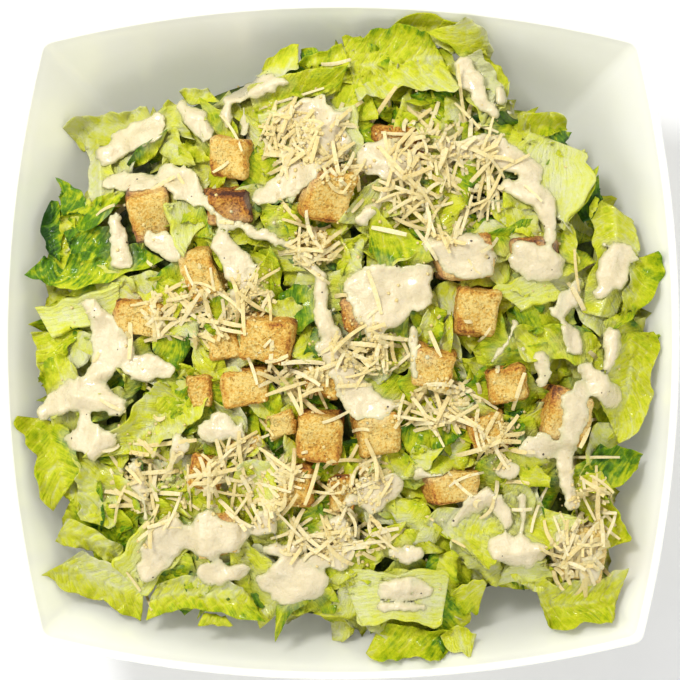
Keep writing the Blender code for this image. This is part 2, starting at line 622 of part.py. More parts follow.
DRESSING = (
    ((-88, 70, 8), (-80, 76, 13), (-70, 81, 10)),
    ((-59, 87, 7), (-54, 83, 10), (-50, 78, 6)),
    ((-64, 62, 7), (-58, 59, 12), (-53, 53, 6)),
    ((-41, 90, 4), (-35, 94, 8), (-27, 96, 9), (-21, 96, 4)),
    ((-19, 83, 11), (-10, 81, 19), (-6, 72, 20), (-11, 65, 13), (-20, 57, 12), (-29, 53, 7)),
    ((12, 67, 12), (19, 66, 17), (25, 64, 12)),
    ((37, 72, 5), (44, 71, 8), (52, 71, 10), (59, 70, 9), (66, 67, 9), (72, 62, 7)),
    ((64, 57, 6), (70, 55, 10), (76, 51, 8), (78, 44, 6), (78, 38, 5)),
    ((-93, 12, 5), (-87, 6, 11), (-84, -4, 13), (-89, -12, 9)),
    ((-110, -26, 6), (-100, -21, 13), (-89, -21, 11), (-81, -24, 6)),
    ((-99, -38, 7), (-92, -38, 12), (-86, -38, 7)),
    ((-49, -33, 6), (-44, -33, 10), (-38, -34, 6)),
    ((-44, 36, 7), (-38, 29, 11), (-35, 19, 10), (-37, 12, 6)),
    ((-18, 35, 5), (-7, 24, 5), (-7, 11, 7), (-3, 0, 11), (2, -14, 11), (8, -21, 10), (17, -26, 5)),
    ((8, 20, 13), (17, 16, 24), (25, 18, 17), (31, 24, 7)),
    ((64, 29, 5), (70, 27, 9), (78, 27, 9), (82, 30, 5)),
    ((98, 18, 7), (102, 24, 13), (106, 31, 10)),
    ((92, -11, 6), (96, -16, 11), (101, -22, 7)),
    ((90, -18, 5), (87, -24, 9), (86, -33, 10), (84, -41, 5)),
    ((-72, -87, 7), (-67, -78, 14), (-62, -70, 8)),
    ((-58, -73, 8), (-49, -73, 16), (-39, -73, 10)),
    ((-50, -87, 7), (-44, -87, 10), (-38, -86, 6)),
    ((-29, -91, 7), (-20, -89, 17), (-12, -90, 15), (-8, -88, 7)),
    ((-7, -81, 11), (-2, -78, 16), (0, -70, 9)),
    ((18, -94, 6), (24, -93, 10), (33, -94, 6)),
    ((4, -60, 5), (12, -58, 15), (19, -54, 10)),
    ((-30, -70, 6), (-27, -68, 10), (-24, -63, 5)),
    ((60, -78, 10), (67, -78, 13), (74, -78, 7)),
)

DRESSING_DEPTH = 0.0012  # how far a run reaches into what it lies on
DRESSING_LEAST = 0.0010
DRESSING_MOST = 0.0030
DRESSING_SHARE = 0.2  # thickness for each unit of width
DRESSING_SOFTENING = 2
DRESSING_END = 0.5  # share of the thickness at a run's ends
DRESSING_PROFILE = ((-1, -1), (-1, 0.2), (-0.5, 1), (0.5, 1), (1, 0.2), (1, -1))  # across, and height


def build_run(points):
    """A domed run of dressing that follows the surface under it."""
    bed = softened(surface, DRESSING_SOFTENING)
    stations = np.array(points) * MM
    rings = []
    for index, (x, y, width) in enumerate(stations):
        before, after = stations[max(index - 1, 0)], stations[min(index + 1, len(stations) - 1)]
        heading = (after - before)[:2] / np.linalg.norm((after - before)[:2])
        end = index in (0, len(stations) - 1)
        thick = min(max(width * DRESSING_SHARE, DRESSING_LEAST), DRESSING_MOST) * (DRESSING_END if end else 1)
        ring = []
        for across, share in DRESSING_PROFILE:
            point_x = np.array(x - heading[1] * across * width / 2)
            point_y = np.array(y + heading[0] * across * width / 2)
            ground = float(sample(bed, point_x, point_y))
            height = ground + (share * thick if share > 0 else -DRESSING_DEPTH)
            ring.append((float(point_x), float(point_y), height))
        rings.append(ring)
    return loft("run", rings)


# Parmesan shreds: x, y and half-sizes of the places where they lie thick, and how many show there

SHRED_PATCHES = (
    (38, 63, 21, 24, 8),
    (-18, 75, 11, 10, 3),
    (-55, 10, 16, 11, 4),
    (-9, 35, 9, 8, 2),
    (-15, -15, 10, 8, 2),
    (37, -24, 15, 9, 4),
    (-33, -52, 18, 15, 4),
    (-1, -73, 19, 8, 4),
    (-71, -54, 14, 16, 3),
    (96, -63, 10, 10, 2),
    (89, -81, 9, 10, 2),
    (5, -53, 16, 9, 2),
    (7, -4, 12, 8, 2),
)
SHRED_SEED = 11
SHRED_WIDTH = 0.0015
SHRED_LENGTHS = (0.009, 0.018)
SHRED_BEND = 0.2  # share of its length by which a shred may bend
SHRED_SUNK = 0.4  # shares of the width that a shred reaches into what it lies on, and stands over it
SHRED_CREST = 0.7


def build_shred(patch, draw):
    """A shred of cheese with three sides and a bend in the middle, half sunk in what it lies on."""
    centre_x, centre_y, half_x, half_y, _ = patch
    x = (centre_x + draw.uniform(-half_x, half_x)) * MM
    y = (centre_y + draw.uniform(-half_y, half_y)) * MM
    turn = draw.uniform(0, math.pi)
    length = draw.uniform(*SHRED_LENGTHS)
    bend = draw.uniform(-SHRED_BEND, SHRED_BEND) * length
    heading = np.array((math.cos(turn), math.sin(turn)))
    sideways = np.array((-heading[1], heading[0]))
    rings = []
    for along in (-0.5, 0, 0.5):
        spot = np.array((x, y)) + heading * along * length + sideways * bend * (1 - 4 * along**2)
        ground = float(sample(surface, *spot))
        low = spot - sideways * SHRED_WIDTH / 2
        high = spot + sideways * SHRED_WIDTH / 2
        rings.append(
            [
                (*low, ground - SHRED_WIDTH * SHRED_SUNK),
                (*high, ground - SHRED_WIDTH * SHRED_SUNK),
                (*spot, ground + SHRED_WIDTH * SHRED_CREST),
            ]
        )
    return loft("shred", rings)


# Fusing the heap


def applied_boolean(target, operation, others):
    """Joins a collection of bodies to the target, or cuts them from it, and removes them."""
    group = bpy.data.collections.new("pieces")
    for other in others:
        bpy.context.collection.objects.unlink(other)
        group.objects.link(other)
    bpy.context.scene.collection.children.link(group)
    modifier = target.modifiers.new("join", "BOOLEAN")
    modifier.operation = operation
    modifier.operand_type = "COLLECTION"
    modifier.collection = group
    modifier.solver = "MANIFOLD"
    bpy.context.view_layer.update()
    whole = target.evaluated_get(bpy.context.evaluated_depsgraph_get())
    mesh = bpy.data.meshes.new_from_object(whole)
    target.modifiers.clear()
    target.data = mesh
    for other in others:
        bpy.data.objects.remove(other, do_unlink=True)
    bpy.data.collections.remove(group)


def keep_outer_shell(target):
    """Drops loose scraps and the walls of sealed hollows."""
    shape = bmesh.new()
    shape.from_mesh(target.data)
    bmesh.ops.triangulate(shape, faces=shape.faces)
    bmesh.ops.dissolve_degenerate(shape, dist=SMALLEST_EDGE, edges=shape.edges)
    bmesh.ops.triangulate(shape, faces=shape.faces)
    left = set(shape.faces)
    shells = []
    while left:
        reached = [left.pop()]
        for face in reached:
            for edge in face.edges:
                if len(edge.link_faces) != 2:
                    continue
                for other in edge.link_faces:
                    if other in left:
                        left.remove(other)
                        reached.append(other)
        shells.append(reached)
    shells.sort(key=len)
    scraps = [face for shell in shells[:-1] for face in shell]
    bmesh.ops.delete(shape, geom=scraps, context="FACES")
    shape.to_mesh(target.data)
    shape.free()


# Materials


def give_material(target, name, color, roughness):
    material = bpy.data.materials.get(name)
    if material is None:
        material = bpy.data.materials.new(name)
        material.use_nodes = True
        shader = material.node_tree.nodes["Principled BSDF"]
        shader.inputs["Base Color"].default_value = (*color, 1)
        shader.inputs["Roughness"].default_value = roughness
        shader.inputs["Metallic"].default_value = 0
    target.data.materials.clear()
    target.data.materials.append(material)


# Putting the salad together

bowl = build_bowl()
give_material(bowl, "white_glaze", (0.86, 0.87, 0.82), 0.12)

salad = build_bed()
pieces = [build_leaf(index) for index, leaf in enumerate(LEAVES) if leaf[1] == 0]
croutons, rooms = zip(*[build_crouton(index) for index in range(len(CROUTONS))])
pieces += [build_leaf(index) for index, leaf in enumerate(LEAVES) if leaf[1] == 1]
pieces += [build_run(points) for points in DRESSING]
shred_draw = random.Random(SHRED_SEED)
pieces += [build_shred(patch, shred_draw) for patch in SHRED_PATCHES for _ in range(patch[4])]
applied_boolean(salad, "UNION", pieces)
applied_boolean(salad, "DIFFERENCE", list(rooms))
keep_outer_shell(salad)
give_material(salad, "romaine", (0.50, 0.62, 0.12), 0.45)

for crouton in croutons:
    give_material(crouton, "toasted_bread", (0.72, 0.42, 0.15), 0.75)
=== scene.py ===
"""A caesar salad in a square white bowl: the looks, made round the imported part.

Units are metres, Z is up. Positions in the lists are millimetres from the bowl's centre, X to the
right and Y to the back as seen from above.
"""

import json
import math
import random

import bpy
import numpy as np
from mathutils import Matrix, Vector

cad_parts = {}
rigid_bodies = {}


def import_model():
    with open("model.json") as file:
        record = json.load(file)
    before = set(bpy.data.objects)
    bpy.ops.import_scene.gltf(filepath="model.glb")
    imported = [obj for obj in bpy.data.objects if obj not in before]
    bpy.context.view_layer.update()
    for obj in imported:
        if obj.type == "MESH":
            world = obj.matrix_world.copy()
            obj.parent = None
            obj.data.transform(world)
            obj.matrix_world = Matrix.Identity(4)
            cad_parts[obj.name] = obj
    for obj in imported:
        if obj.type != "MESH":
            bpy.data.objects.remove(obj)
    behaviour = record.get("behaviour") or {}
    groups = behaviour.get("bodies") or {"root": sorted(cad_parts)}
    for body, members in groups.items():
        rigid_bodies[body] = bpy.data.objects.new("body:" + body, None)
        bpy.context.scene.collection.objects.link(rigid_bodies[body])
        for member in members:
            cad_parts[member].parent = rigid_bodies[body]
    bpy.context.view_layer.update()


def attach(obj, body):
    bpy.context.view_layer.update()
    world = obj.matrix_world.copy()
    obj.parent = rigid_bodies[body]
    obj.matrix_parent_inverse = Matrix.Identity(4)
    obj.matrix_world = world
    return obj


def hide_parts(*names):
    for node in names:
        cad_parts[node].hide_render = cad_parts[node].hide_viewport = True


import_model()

MM = 0.001


# The bowl
# One piece of glossy white melamine: four sides that bulge out and meet in rounded corners, an even
# wall that swells from a round foot ring to the rim, and a rim with its edges rounded over.

RIM_HALF = 0.127  # centre to the middle of a side, outside
CORNER_HALF = 0.113  # centre to a corner, along X
CORNER_ROUND = 0.005
BOWL_HEIGHT = 0.080
WALL = 0.003
RIM_EDGE = 0.0008
FOOT_HALF = 0.062
FOOT_WIDTH = 0.006
FOOT_HEIGHT = 0.004
FOOT_HOLLOW = 0.002
FLOOR_THICK = 0.007
FLOOR_LIFT = FLOOR_THICK - FOOT_HEIGHT
FLOOR_INSET = 0.7  # share of the wall's thickness that is taken off at the floor
BELLY = (0.0995, 0.012)  # half-width and height that the wall's curve bends towards
BELLY_LIFT = 0.8  # share of the floor's thickness by which the inner curve's bend is higher
BELLY_SQUARENESS = 2.8  # 2 is a circle, higher is squarer
ROUNDING_FALL = 1.5  # how fast the rounder outline gives way to the rim's towards the top
INNERMOST = 0.001  # half-width of the smallest ring, which one face closes
BOWL_SIDE_STEPS = 64
BOWL_CORNER_STEPS = 12
BOWL_WALL_STEPS = 36
RIM_EDGE_STEPS = 5

BULGE = RIM_HALF - CORNER_HALF
SIDE_RADIUS = (CORNER_HALF**2 + BULGE**2) / (2 * BULGE)
HALF_CORNER = math.pi / 4 + math.asin(CORNER_HALF / SIDE_RADIUS)
CORNER_REACH = CORNER_HALF * math.sqrt(2)  # from the centre to where two sides would meet
# Half the angle, seen from the centre, that a corner's rounding takes up
CORNER_SHARE = math.atan(CORNER_ROUND * math.cos(HALF_CORNER) / (CORNER_REACH - CORNER_ROUND))


def rim_radius(angle):
    """Distance from the centre to the outside of the rim: four bulging sides and rounded corners."""
    back = SIDE_RADIUS - RIM_HALF
    turned = np.mod(angle + math.pi / 4, math.pi / 2) - math.pi / 4
    side = -back * np.cos(turned) + np.sqrt(SIDE_RADIUS**2 - (back * np.sin(turned)) ** 2)
    centre = CORNER_REACH - CORNER_ROUND / math.sin(HALF_CORNER)
    off = math.pi / 4 - np.abs(turned)
    reach = np.minimum(centre * np.sin(off), CORNER_ROUND)
    corner = centre * np.cos(off) + np.sqrt(CORNER_ROUND**2 - reach**2)
    return np.where(off < CORNER_SHARE, corner, side)


def belly_radius(angle):
    """The rounder outline that the wall takes lower down."""
    power = BELLY_SQUARENESS
    return RIM_HALF / (np.abs(np.cos(angle)) ** power + np.abs(np.sin(angle)) ** power) ** (1 / power)


def outline(angle, half, roundness):
    """Radius of the bowl where its half-width and its share of the rounder outline are given."""
    mixed = (1 - roundness) * rim_radius(angle) + roundness * belly_radius(angle)
    return half / RIM_HALF * mixed


def wall_curve(step, inset, lift):
    """Half-width, height and roundness along the wall, from the floor at 0 to the rim at 1."""
    start = (FOOT_HALF - inset * FLOOR_INSET, FOOT_HEIGHT + lift)
    bend = (BELLY[0] - inset, BELLY[1] + lift * BELLY_LIFT)
    end = (RIM_HALF - inset, BOWL_HEIGHT)
    weights = ((1 - step) ** 2, 2 * step * (1 - step), step**2)
    half = weights[0] * start[0] + weights[1] * bend[0] + weights[2] * end[0]
    height = weights[0] * start[1] + weights[1] * bend[1] + weights[2] * end[1]
    return half, height, (1 - step) ** ROUNDING_FALL


def rim_angles(side_steps, corner_steps):
    """Directions round the bowl, closer together at its corners."""
    half_side = math.pi / 4 - CORNER_SHARE
    turns = []
    for quarter in range(4):
        middle = quarter * math.pi / 2
        turns += list(middle + np.linspace(-half_side, half_side, side_steps + 1))
        turns += list(middle + math.pi / 4 + np.linspace(-CORNER_SHARE, CORNER_SHARE, corner_steps + 1)[1:-1])
    return np.array(turns)


def level_ring(angles, half, height, roundness):
    """A level ring of points round the bowl's axis."""
    radius = outline(angles, half, roundness)
    return np.stack([radius * np.cos(angles), radius * np.sin(angles), np.full_like(radius, height)], 1)


def piece_of(name, points, faces):
    """A smooth-shaded mesh piece from arrays of points and faces."""
    mesh = bpy.data.meshes.new(name)
    mesh.from_pydata(np.asarray(points, float).tolist(), [], faces)
    mesh.shade_smooth()
    piece = bpy.data.objects.new(name, mesh)
    bpy.context.collection.objects.link(piece)
    return piece


def closed_faces(rows, count):
    """Faces of a body of rings of points that rise and turn left, shut by one face at each end."""
    faces = []
    for row in range(rows - 1):
        for column in range(count):
            after = (column + 1) % count
            low, high = row * count, (row + 1) * count
            faces.append((low + column, low + after, high + after, high + column))
    faces.append(tuple(range(count))[::-1])
    faces.append(tuple(range((rows - 1) * count, rows * count)))
    return faces


def rounded_edge(angles, half, way):
    """Rings over an edge of the rim, from the wall to the top where way is 1, and back where it is -1."""
    rings = []
    for turn in np.linspace(0, math.pi / 2, RIM_EDGE_STEPS)[::way]:
        reach = half + way * RIM_EDGE * (math.cos(turn) - 1)
        rings.append(level_ring(angles, reach, BOWL_HEIGHT + RIM_EDGE * (math.sin(turn) - 1), 0))
    return rings


def build_bowl():
    """The bowl as rings from the middle of its underside, up the outside, over the rim and down inside."""
    angles = rim_angles(BOWL_SIDE_STEPS, BOWL_CORNER_STEPS)
    rings = [
        level_ring(angles, INNERMOST, FOOT_HOLLOW, 1),
        level_ring(angles, FOOT_HALF - FOOT_WIDTH - FOOT_HOLLOW, FOOT_HOLLOW, 1),
        level_ring(angles, FOOT_HALF - FOOT_WIDTH, 0, 1),
        level_ring(angles, FOOT_HALF - RIM_EDGE, 0, 1),
    ]
    steps = np.linspace(0, 1, BOWL_WALL_STEPS)
    rings += [level_ring(angles, *wall_curve(step, 0, 0)) for step in steps[:-1]]
    rings += rounded_edge(angles, RIM_HALF, 1)
    rings += rounded_edge(angles, RIM_HALF - WALL, -1)
    rings += [level_ring(angles, *wall_curve(step, WALL, FLOOR_LIFT)) for step in steps[-2::-1]]
    rings.append(level_ring(angles, INNERMOST, FLOOR_THICK, 1))
    return piece_of("glazed_bowl", np.concatenate(rings), closed_faces(len(rings), len(angles)))


def material_of(name, **values):
    """A Principled material and its node tree, with the plain values of the finish set on the shader."""
    material = bpy.data.materials.new(name)
    material.use_nodes = True
    shader = material.node_tree.nodes["Principled BSDF"]
    for socket, value in values.items():
        shader.inputs[socket.replace("_", " ")].default_value = value
    return material, material.node_tree, shader


def hue(code):
    """A linear colour from a hex code as seen on a screen."""
    parts = [int(code[at : at + 2], 16) / 255 for at in (0, 2, 4)]
    return (*[(p / 12.92 if p <= 0.04045 else ((p + 0.055) / 1.055) ** 2.4) for p in parts], 1)


def add_node(tree, kind, **values):
    """A node with its properties and, by name or number, the values of its sockets."""
    made = tree.nodes.new(kind)
    for key, value in values.items():
        if hasattr(made, key):
            setattr(made, key, value)
        else:
            made.inputs[key.replace("_", " ")].default_value = value
    return made


def ramp_node(tree, factor, stops):
    """A colour ramp with its stops as pairs of place and colour."""
    ramp = tree.nodes.new("ShaderNodeValToRGB")
    points = ramp.color_ramp.elements
    while len(points) < len(stops):
        points.new(0.5)
    for point, (place, color) in zip(points, stops):
        point.position = place
        point.color = color
    tree.links.new(factor, ramp.inputs["Fac"])
    return ramp.outputs["Color"]


def grain_group():
    """Uneven grain of one size: a mask from 0 to 1, used for mottling and for fine relief."""
    group = bpy.data.node_groups.new("Grain", "ShaderNodeTree")
    group.interface.new_socket("Grains per metre", in_out="INPUT", socket_type="NodeSocketFloat")
    group.interface.new_socket("Lowest", in_out="INPUT", socket_type="NodeSocketFloat")
    group.interface.new_socket("Highest", in_out="INPUT", socket_type="NodeSocketFloat")
    group.interface.new_socket("Mask", in_out="OUTPUT", socket_type="NodeSocketFloat")
    inside = group.nodes.new("NodeGroupInput")
    outside = group.nodes.new("NodeGroupOutput")
    place = group.nodes.new("ShaderNodeTexCoord")
    noise = add_node(group, "ShaderNodeTexNoise", Detail=4.0, Roughness=0.6)
    spread = add_node(group, "ShaderNodeMapRange")
    group.links.new(place.outputs["Object"], noise.inputs["Vector"])
    group.links.new(inside.outputs["Grains per metre"], noise.inputs["Scale"])
    group.links.new(noise.outputs["Fac"], spread.inputs["Value"])
    group.links.new(inside.outputs["Lowest"], spread.inputs["From Min"])
    group.links.new(inside.outputs["Highest"], spread.inputs["From Max"])
    group.links.new(spread.outputs["Result"], outside.inputs["Mask"])
    return group


GRAIN = grain_group()


def grain(tree, per_metre, lowest=0.3, highest=0.7):
    """The grain effect placed in a material."""
    made = tree.nodes.new("ShaderNodeGroup")
    made.node_tree = GRAIN
    made.inputs["Grains per metre"].default_value = per_metre
    made.inputs["Lowest"].default_value = lowest
    made.inputs["Highest"].default_value = highest
    return made.outputs["Mask"]


def roughness(tree, shader, mask, least, most):
    """Roughness that varies over a finish with a mask."""
    spread = add_node(tree, "ShaderNodeMapRange", To_Min=least, To_Max=most)
    tree.links.new(mask, spread.inputs["Value"])
    tree.links.new(spread.outputs["Result"], shader.inputs["Roughness"])


def relief(tree, shader, height, distance):
    """Fine relief on a finish, in metres of height."""
    bump = add_node(tree, "ShaderNodeBump", Strength=1.0, Distance=distance)
    tree.links.new(height, bump.inputs["Height"])
    tree.links.new(bump.outputs["Normal"], shader.inputs["Normal"])


GLAZE_COLORS = [(0, hue("F3F2DF")), (1, hue("F7F6E7"))]


def glaze_material():
    """Smooth white melamine that lets a little light through, with faint clouds and wear."""
    material, tree, shader = material_of(
        "white_glaze_finish", Coat_Weight=0.35, Coat_Roughness=0.06, Subsurface_Weight=0.6,
        Subsurface_Scale=0.012, Subsurface_Radius=(1.0, 1.0, 0.9),
    )
    clouds = grain(tree, 28, 0.25, 0.75)
    tree.links.new(ramp_node(tree, clouds, GLAZE_COLORS), shader.inputs["Base Color"])
    roughness(tree, shader, grain(tree, 160), 0.16, 0.26)
    relief(tree, shader, grain(tree, 60, 0.2, 0.8), 0.00004)
    return material


bowl = build_bowl()
bowl.data.materials.append(glaze_material())
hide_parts("bowl")
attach(bowl, "root")


# The imported salad
# Chopped romaine pressed together under what shows: a rounded heap that follows the bowl's wall, is
# coloured dark as painted shade between the leaves, and falls away at the bowl's corners.

BED_CROWN = 0.010  # packed salad over the rim, at the centre
BED_FALL = 0.026  # how far it falls from there to the wall
BED_GAP = 0.0010  # between the salad and the bowl
CORE_SINK = 0.007  # how far the core lies under the lowest leaves
CORE_FALL = 0.026  # how much lower the core is at the heap's edge
CORE_FALL_FROM = 0.72  # share of the way out from which it falls
CORE_FALL_WIDTH = 0.25
CORE_FALL_POWER = 1.5
CORE_ROWS = 56
CORE_SIDE_STEPS = 44
CORE_CORNER_STEPS = 6
CORE_WALL_STEPS = 12
CORE_WALL_SPREAD = 1.4  # over 1, the rings up the wall lie closer together low down
CORE_LUMPS = 0.0016
LUMP_SIZES = ((1.0, 0.006, 3), (0.5, 0.0025, 5))  # share of the height, size and seed
INNER_STEPS = 25
CORNER_HOLLOWS = (  # x, y, depth and spread of the places where the heap falls away
    (-104, 104, 34, 46),
    (104, 108, 26, 42),
    (-104, -106, 14, 34),
    (66, -116, 8, 26),
)
CELL = 0.002
SPAN = 0.132
AXIS = np.arange(-SPAN, SPAN + CELL / 2, CELL)
GRID_X, GRID_Y = np.meshgrid(AXIS, AXIS)

INNER_LEVELS = [wall_curve(step, WALL, FLOOR_LIFT) for step in np.linspace(0, 1, INNER_STEPS)]


def wall_reach(angle, height):
    """Inside radius of the bowl at a height."""
    heights = [level[1] for level in INNER_LEVELS]
    half = np.interp(height, heights, [level[0] for level in INNER_LEVELS])
    roundness = np.interp(height, heights, [level[2] for level in INNER_LEVELS])
    return outline(angle, half, roundness)


def wall_height(x, y):
    """Height of the bowl's inner surface under a point."""
    angle = np.arctan2(y, x)
    radius = np.hypot(x, y)
    found = np.full(np.shape(radius), INNER_LEVELS[0][1])
    for low, high in zip(INNER_LEVELS, INNER_LEVELS[1:]):
        inner = outline(angle, low[0], low[2])
        outer = outline(angle, high[0], high[2])
        share = np.clip((radius - inner) / (outer - inner), 0, 1)
        found = found + share * (high[1] - low[1])
    return found


def bed_height(x, y):
    """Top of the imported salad: a low dome that falls away at the corners."""
    share = np.hypot(x, y) / rim_radius(np.arctan2(y, x))
    height = BOWL_HEIGHT + BED_CROWN - BED_FALL * share**3
    for centre_x, centre_y, depth, spread in CORNER_HOLLOWS:
        away = np.hypot(x - centre_x * MM, y - centre_y * MM) / (spread * MM)
        height = height - depth * MM * np.exp(-(away**2))
    return height


SCATTER = (127.1, 311.7, 74.7, 43758.5453)  # factors that make neighbouring cells unlike


def scattered(column, row, seed):
    """A number from 0 to 1 for each cell of a grid, the same each time."""
    return np.mod(np.sin(column * SCATTER[0] + row * SCATTER[1] + seed * SCATTER[2]) * SCATTER[3], 1)


def soft_noise(x, y, size, seed, angular=False):
    """Noise from -1 to 1 with humps of about this size, smooth or with straight slopes."""
    u, v = x / size, y / size
    column, row = np.floor(u), np.floor(v)
    s, t = u - column, v - row
    if not angular:
        s, t = s * s * (3 - 2 * s), t * t * (3 - 2 * t)
    near = scattered(column, row, seed) * (1 - s) + scattered(column + 1, row, seed) * s
    far = scattered(column, row + 1, seed) * (1 - s) + scattered(column + 1, row + 1, seed) * s
    return 2 * (near * (1 - t) + far * t) - 1


def cell_gap(x, y, size, seed):
    """0 on the seams between scattered cells of about this size, rising inside them."""
    u, v = x / size, y / size
    column, row = np.floor(u), np.floor(v)
    first = second = np.full(np.shape(u), np.inf)
    for right in (-1, 0, 1):
        for up in (-1, 0, 1):
            c, r = column + right, row + up
            away = np.hypot(c + scattered(c, r, seed) - u, r + scattered(c, r, seed + 31) - v)
            second = np.where(away < first, first, np.minimum(second, away))
            first = np.minimum(first, away)
    return second - first


# Where the heap meets the bowl, going round from the back to the left
HEAP_EDGE = (
    (4, 120), (37, 121), (52, 109), (61, 98), (87, 81), (98, 65), (115, 43), (120, 22), (119, -4),
    (111, -37), (115, -46), (105, -59), (108, -81), (104, -105), (81, -102), (55, -96), (44, -121),
    (11, -118), (-18, -111), (-44, -107), (-74, -101), (-105, -92), (-104, -63), (-117, -44),
    (-117, -22), (-115, 7), (-118, 28), (-113, 52), (-96, 61), (-102, 80), (-57, 91), (-39, 99), (-15, 109),
)


def heap_reach(x, y):
    """Share of the way from the middle to the heap's edge, 1 on the edge."""
    ways = np.array([math.atan2(edge_y, edge_x) for edge_x, edge_y in HEAP_EDGE])
    reaches = np.array([math.hypot(edge_x, edge_y) * MM for edge_x, edge_y in HEAP_EDGE])
    order = np.argsort(ways)
    return np.hypot(x, y) / np.interp(np.arctan2(y, x), ways[order], reaches[order], period=math.tau)


def core_height(x, y):
    """Top of the core: under the leaves everywhere, and well under them at the heap's edge."""
    edge = np.clip((heap_reach(x, y) - CORE_FALL_FROM) / CORE_FALL_WIDTH, 0, 1)
    return bed_height(x, y) - CORE_SINK - CORE_FALL * edge**CORE_FALL_POWER


def build_core():
    """The heap's core, a little smaller than the bowl's inside all round, lumpy on top."""
    angles = rim_angles(CORE_SIDE_STEPS, CORE_CORNER_STEPS)
    floor = FLOOR_THICK + 2 * BED_GAP
    top = BOWL_HEIGHT
    for _ in range(12):  # halves the way to where the core's top meets the wall each time
        radius = wall_reach(angles, top - BED_GAP) - BED_GAP
        top = (top + core_height(radius * np.cos(angles), radius * np.sin(angles))) / 2
    rings = [level_ring(angles, INNERMOST, floor, 1)]
    for step in np.linspace(0, 1, CORE_WALL_STEPS + 1):
        height = floor + (top - floor) * step**CORE_WALL_SPREAD
        radius = wall_reach(angles, height - BED_GAP) - BED_GAP
        rings.append(np.stack([radius * np.cos(angles), radius * np.sin(angles), height], 1))
    edge = rings[-1]
    for share in np.linspace(1, 0.005, CORE_ROWS)[1:]:
        x, y = edge[:, 0] * share, edge[:, 1] * share
        lumps = sum(height * soft_noise(x, y, size, seed) for height, size, seed in LUMP_SIZES) - 1
        lumps = lumps * min(1, (1 - share) * 12)  # level where the core meets the wall
        rings.append(np.stack([x, y, core_height(x, y) + lumps * CORE_LUMPS], 1))
    return piece_of("salad_core", np.concatenate(rings), closed_faces(len(rings), len(angles)))


# Painted shade: the core's greens are dark so that the gaps between the leaves read as shadow.
CORE_SHADE_COLORS = [(0, hue("2C380A")), (0.5, hue("4E5E12")), (1, hue("788C22"))]


def core_material():
    """Pressed leaf coloured dark as painted shade, uneven in tone and rough."""
    material, tree, shader = material_of("packed_leaf_painted_shade_finish", Roughness=0.6)
    tree.links.new(ramp_node(tree, grain(tree, 260), CORE_SHADE_COLORS), shader.inputs["Base Color"])
    relief(tree, shader, grain(tree, 420, 0.2, 0.8), 0.0008)
    return material


core = build_core()
core.data.materials.append(core_material())
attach(core, "root")


# The romaine under the croutons
# Chopped pieces of romaine, laid one over another: thin green blades with side veins and blisters,
# thick pale ribs with grooves along them, frilled leaf edges, crinkled heart leaves and folded pieces.

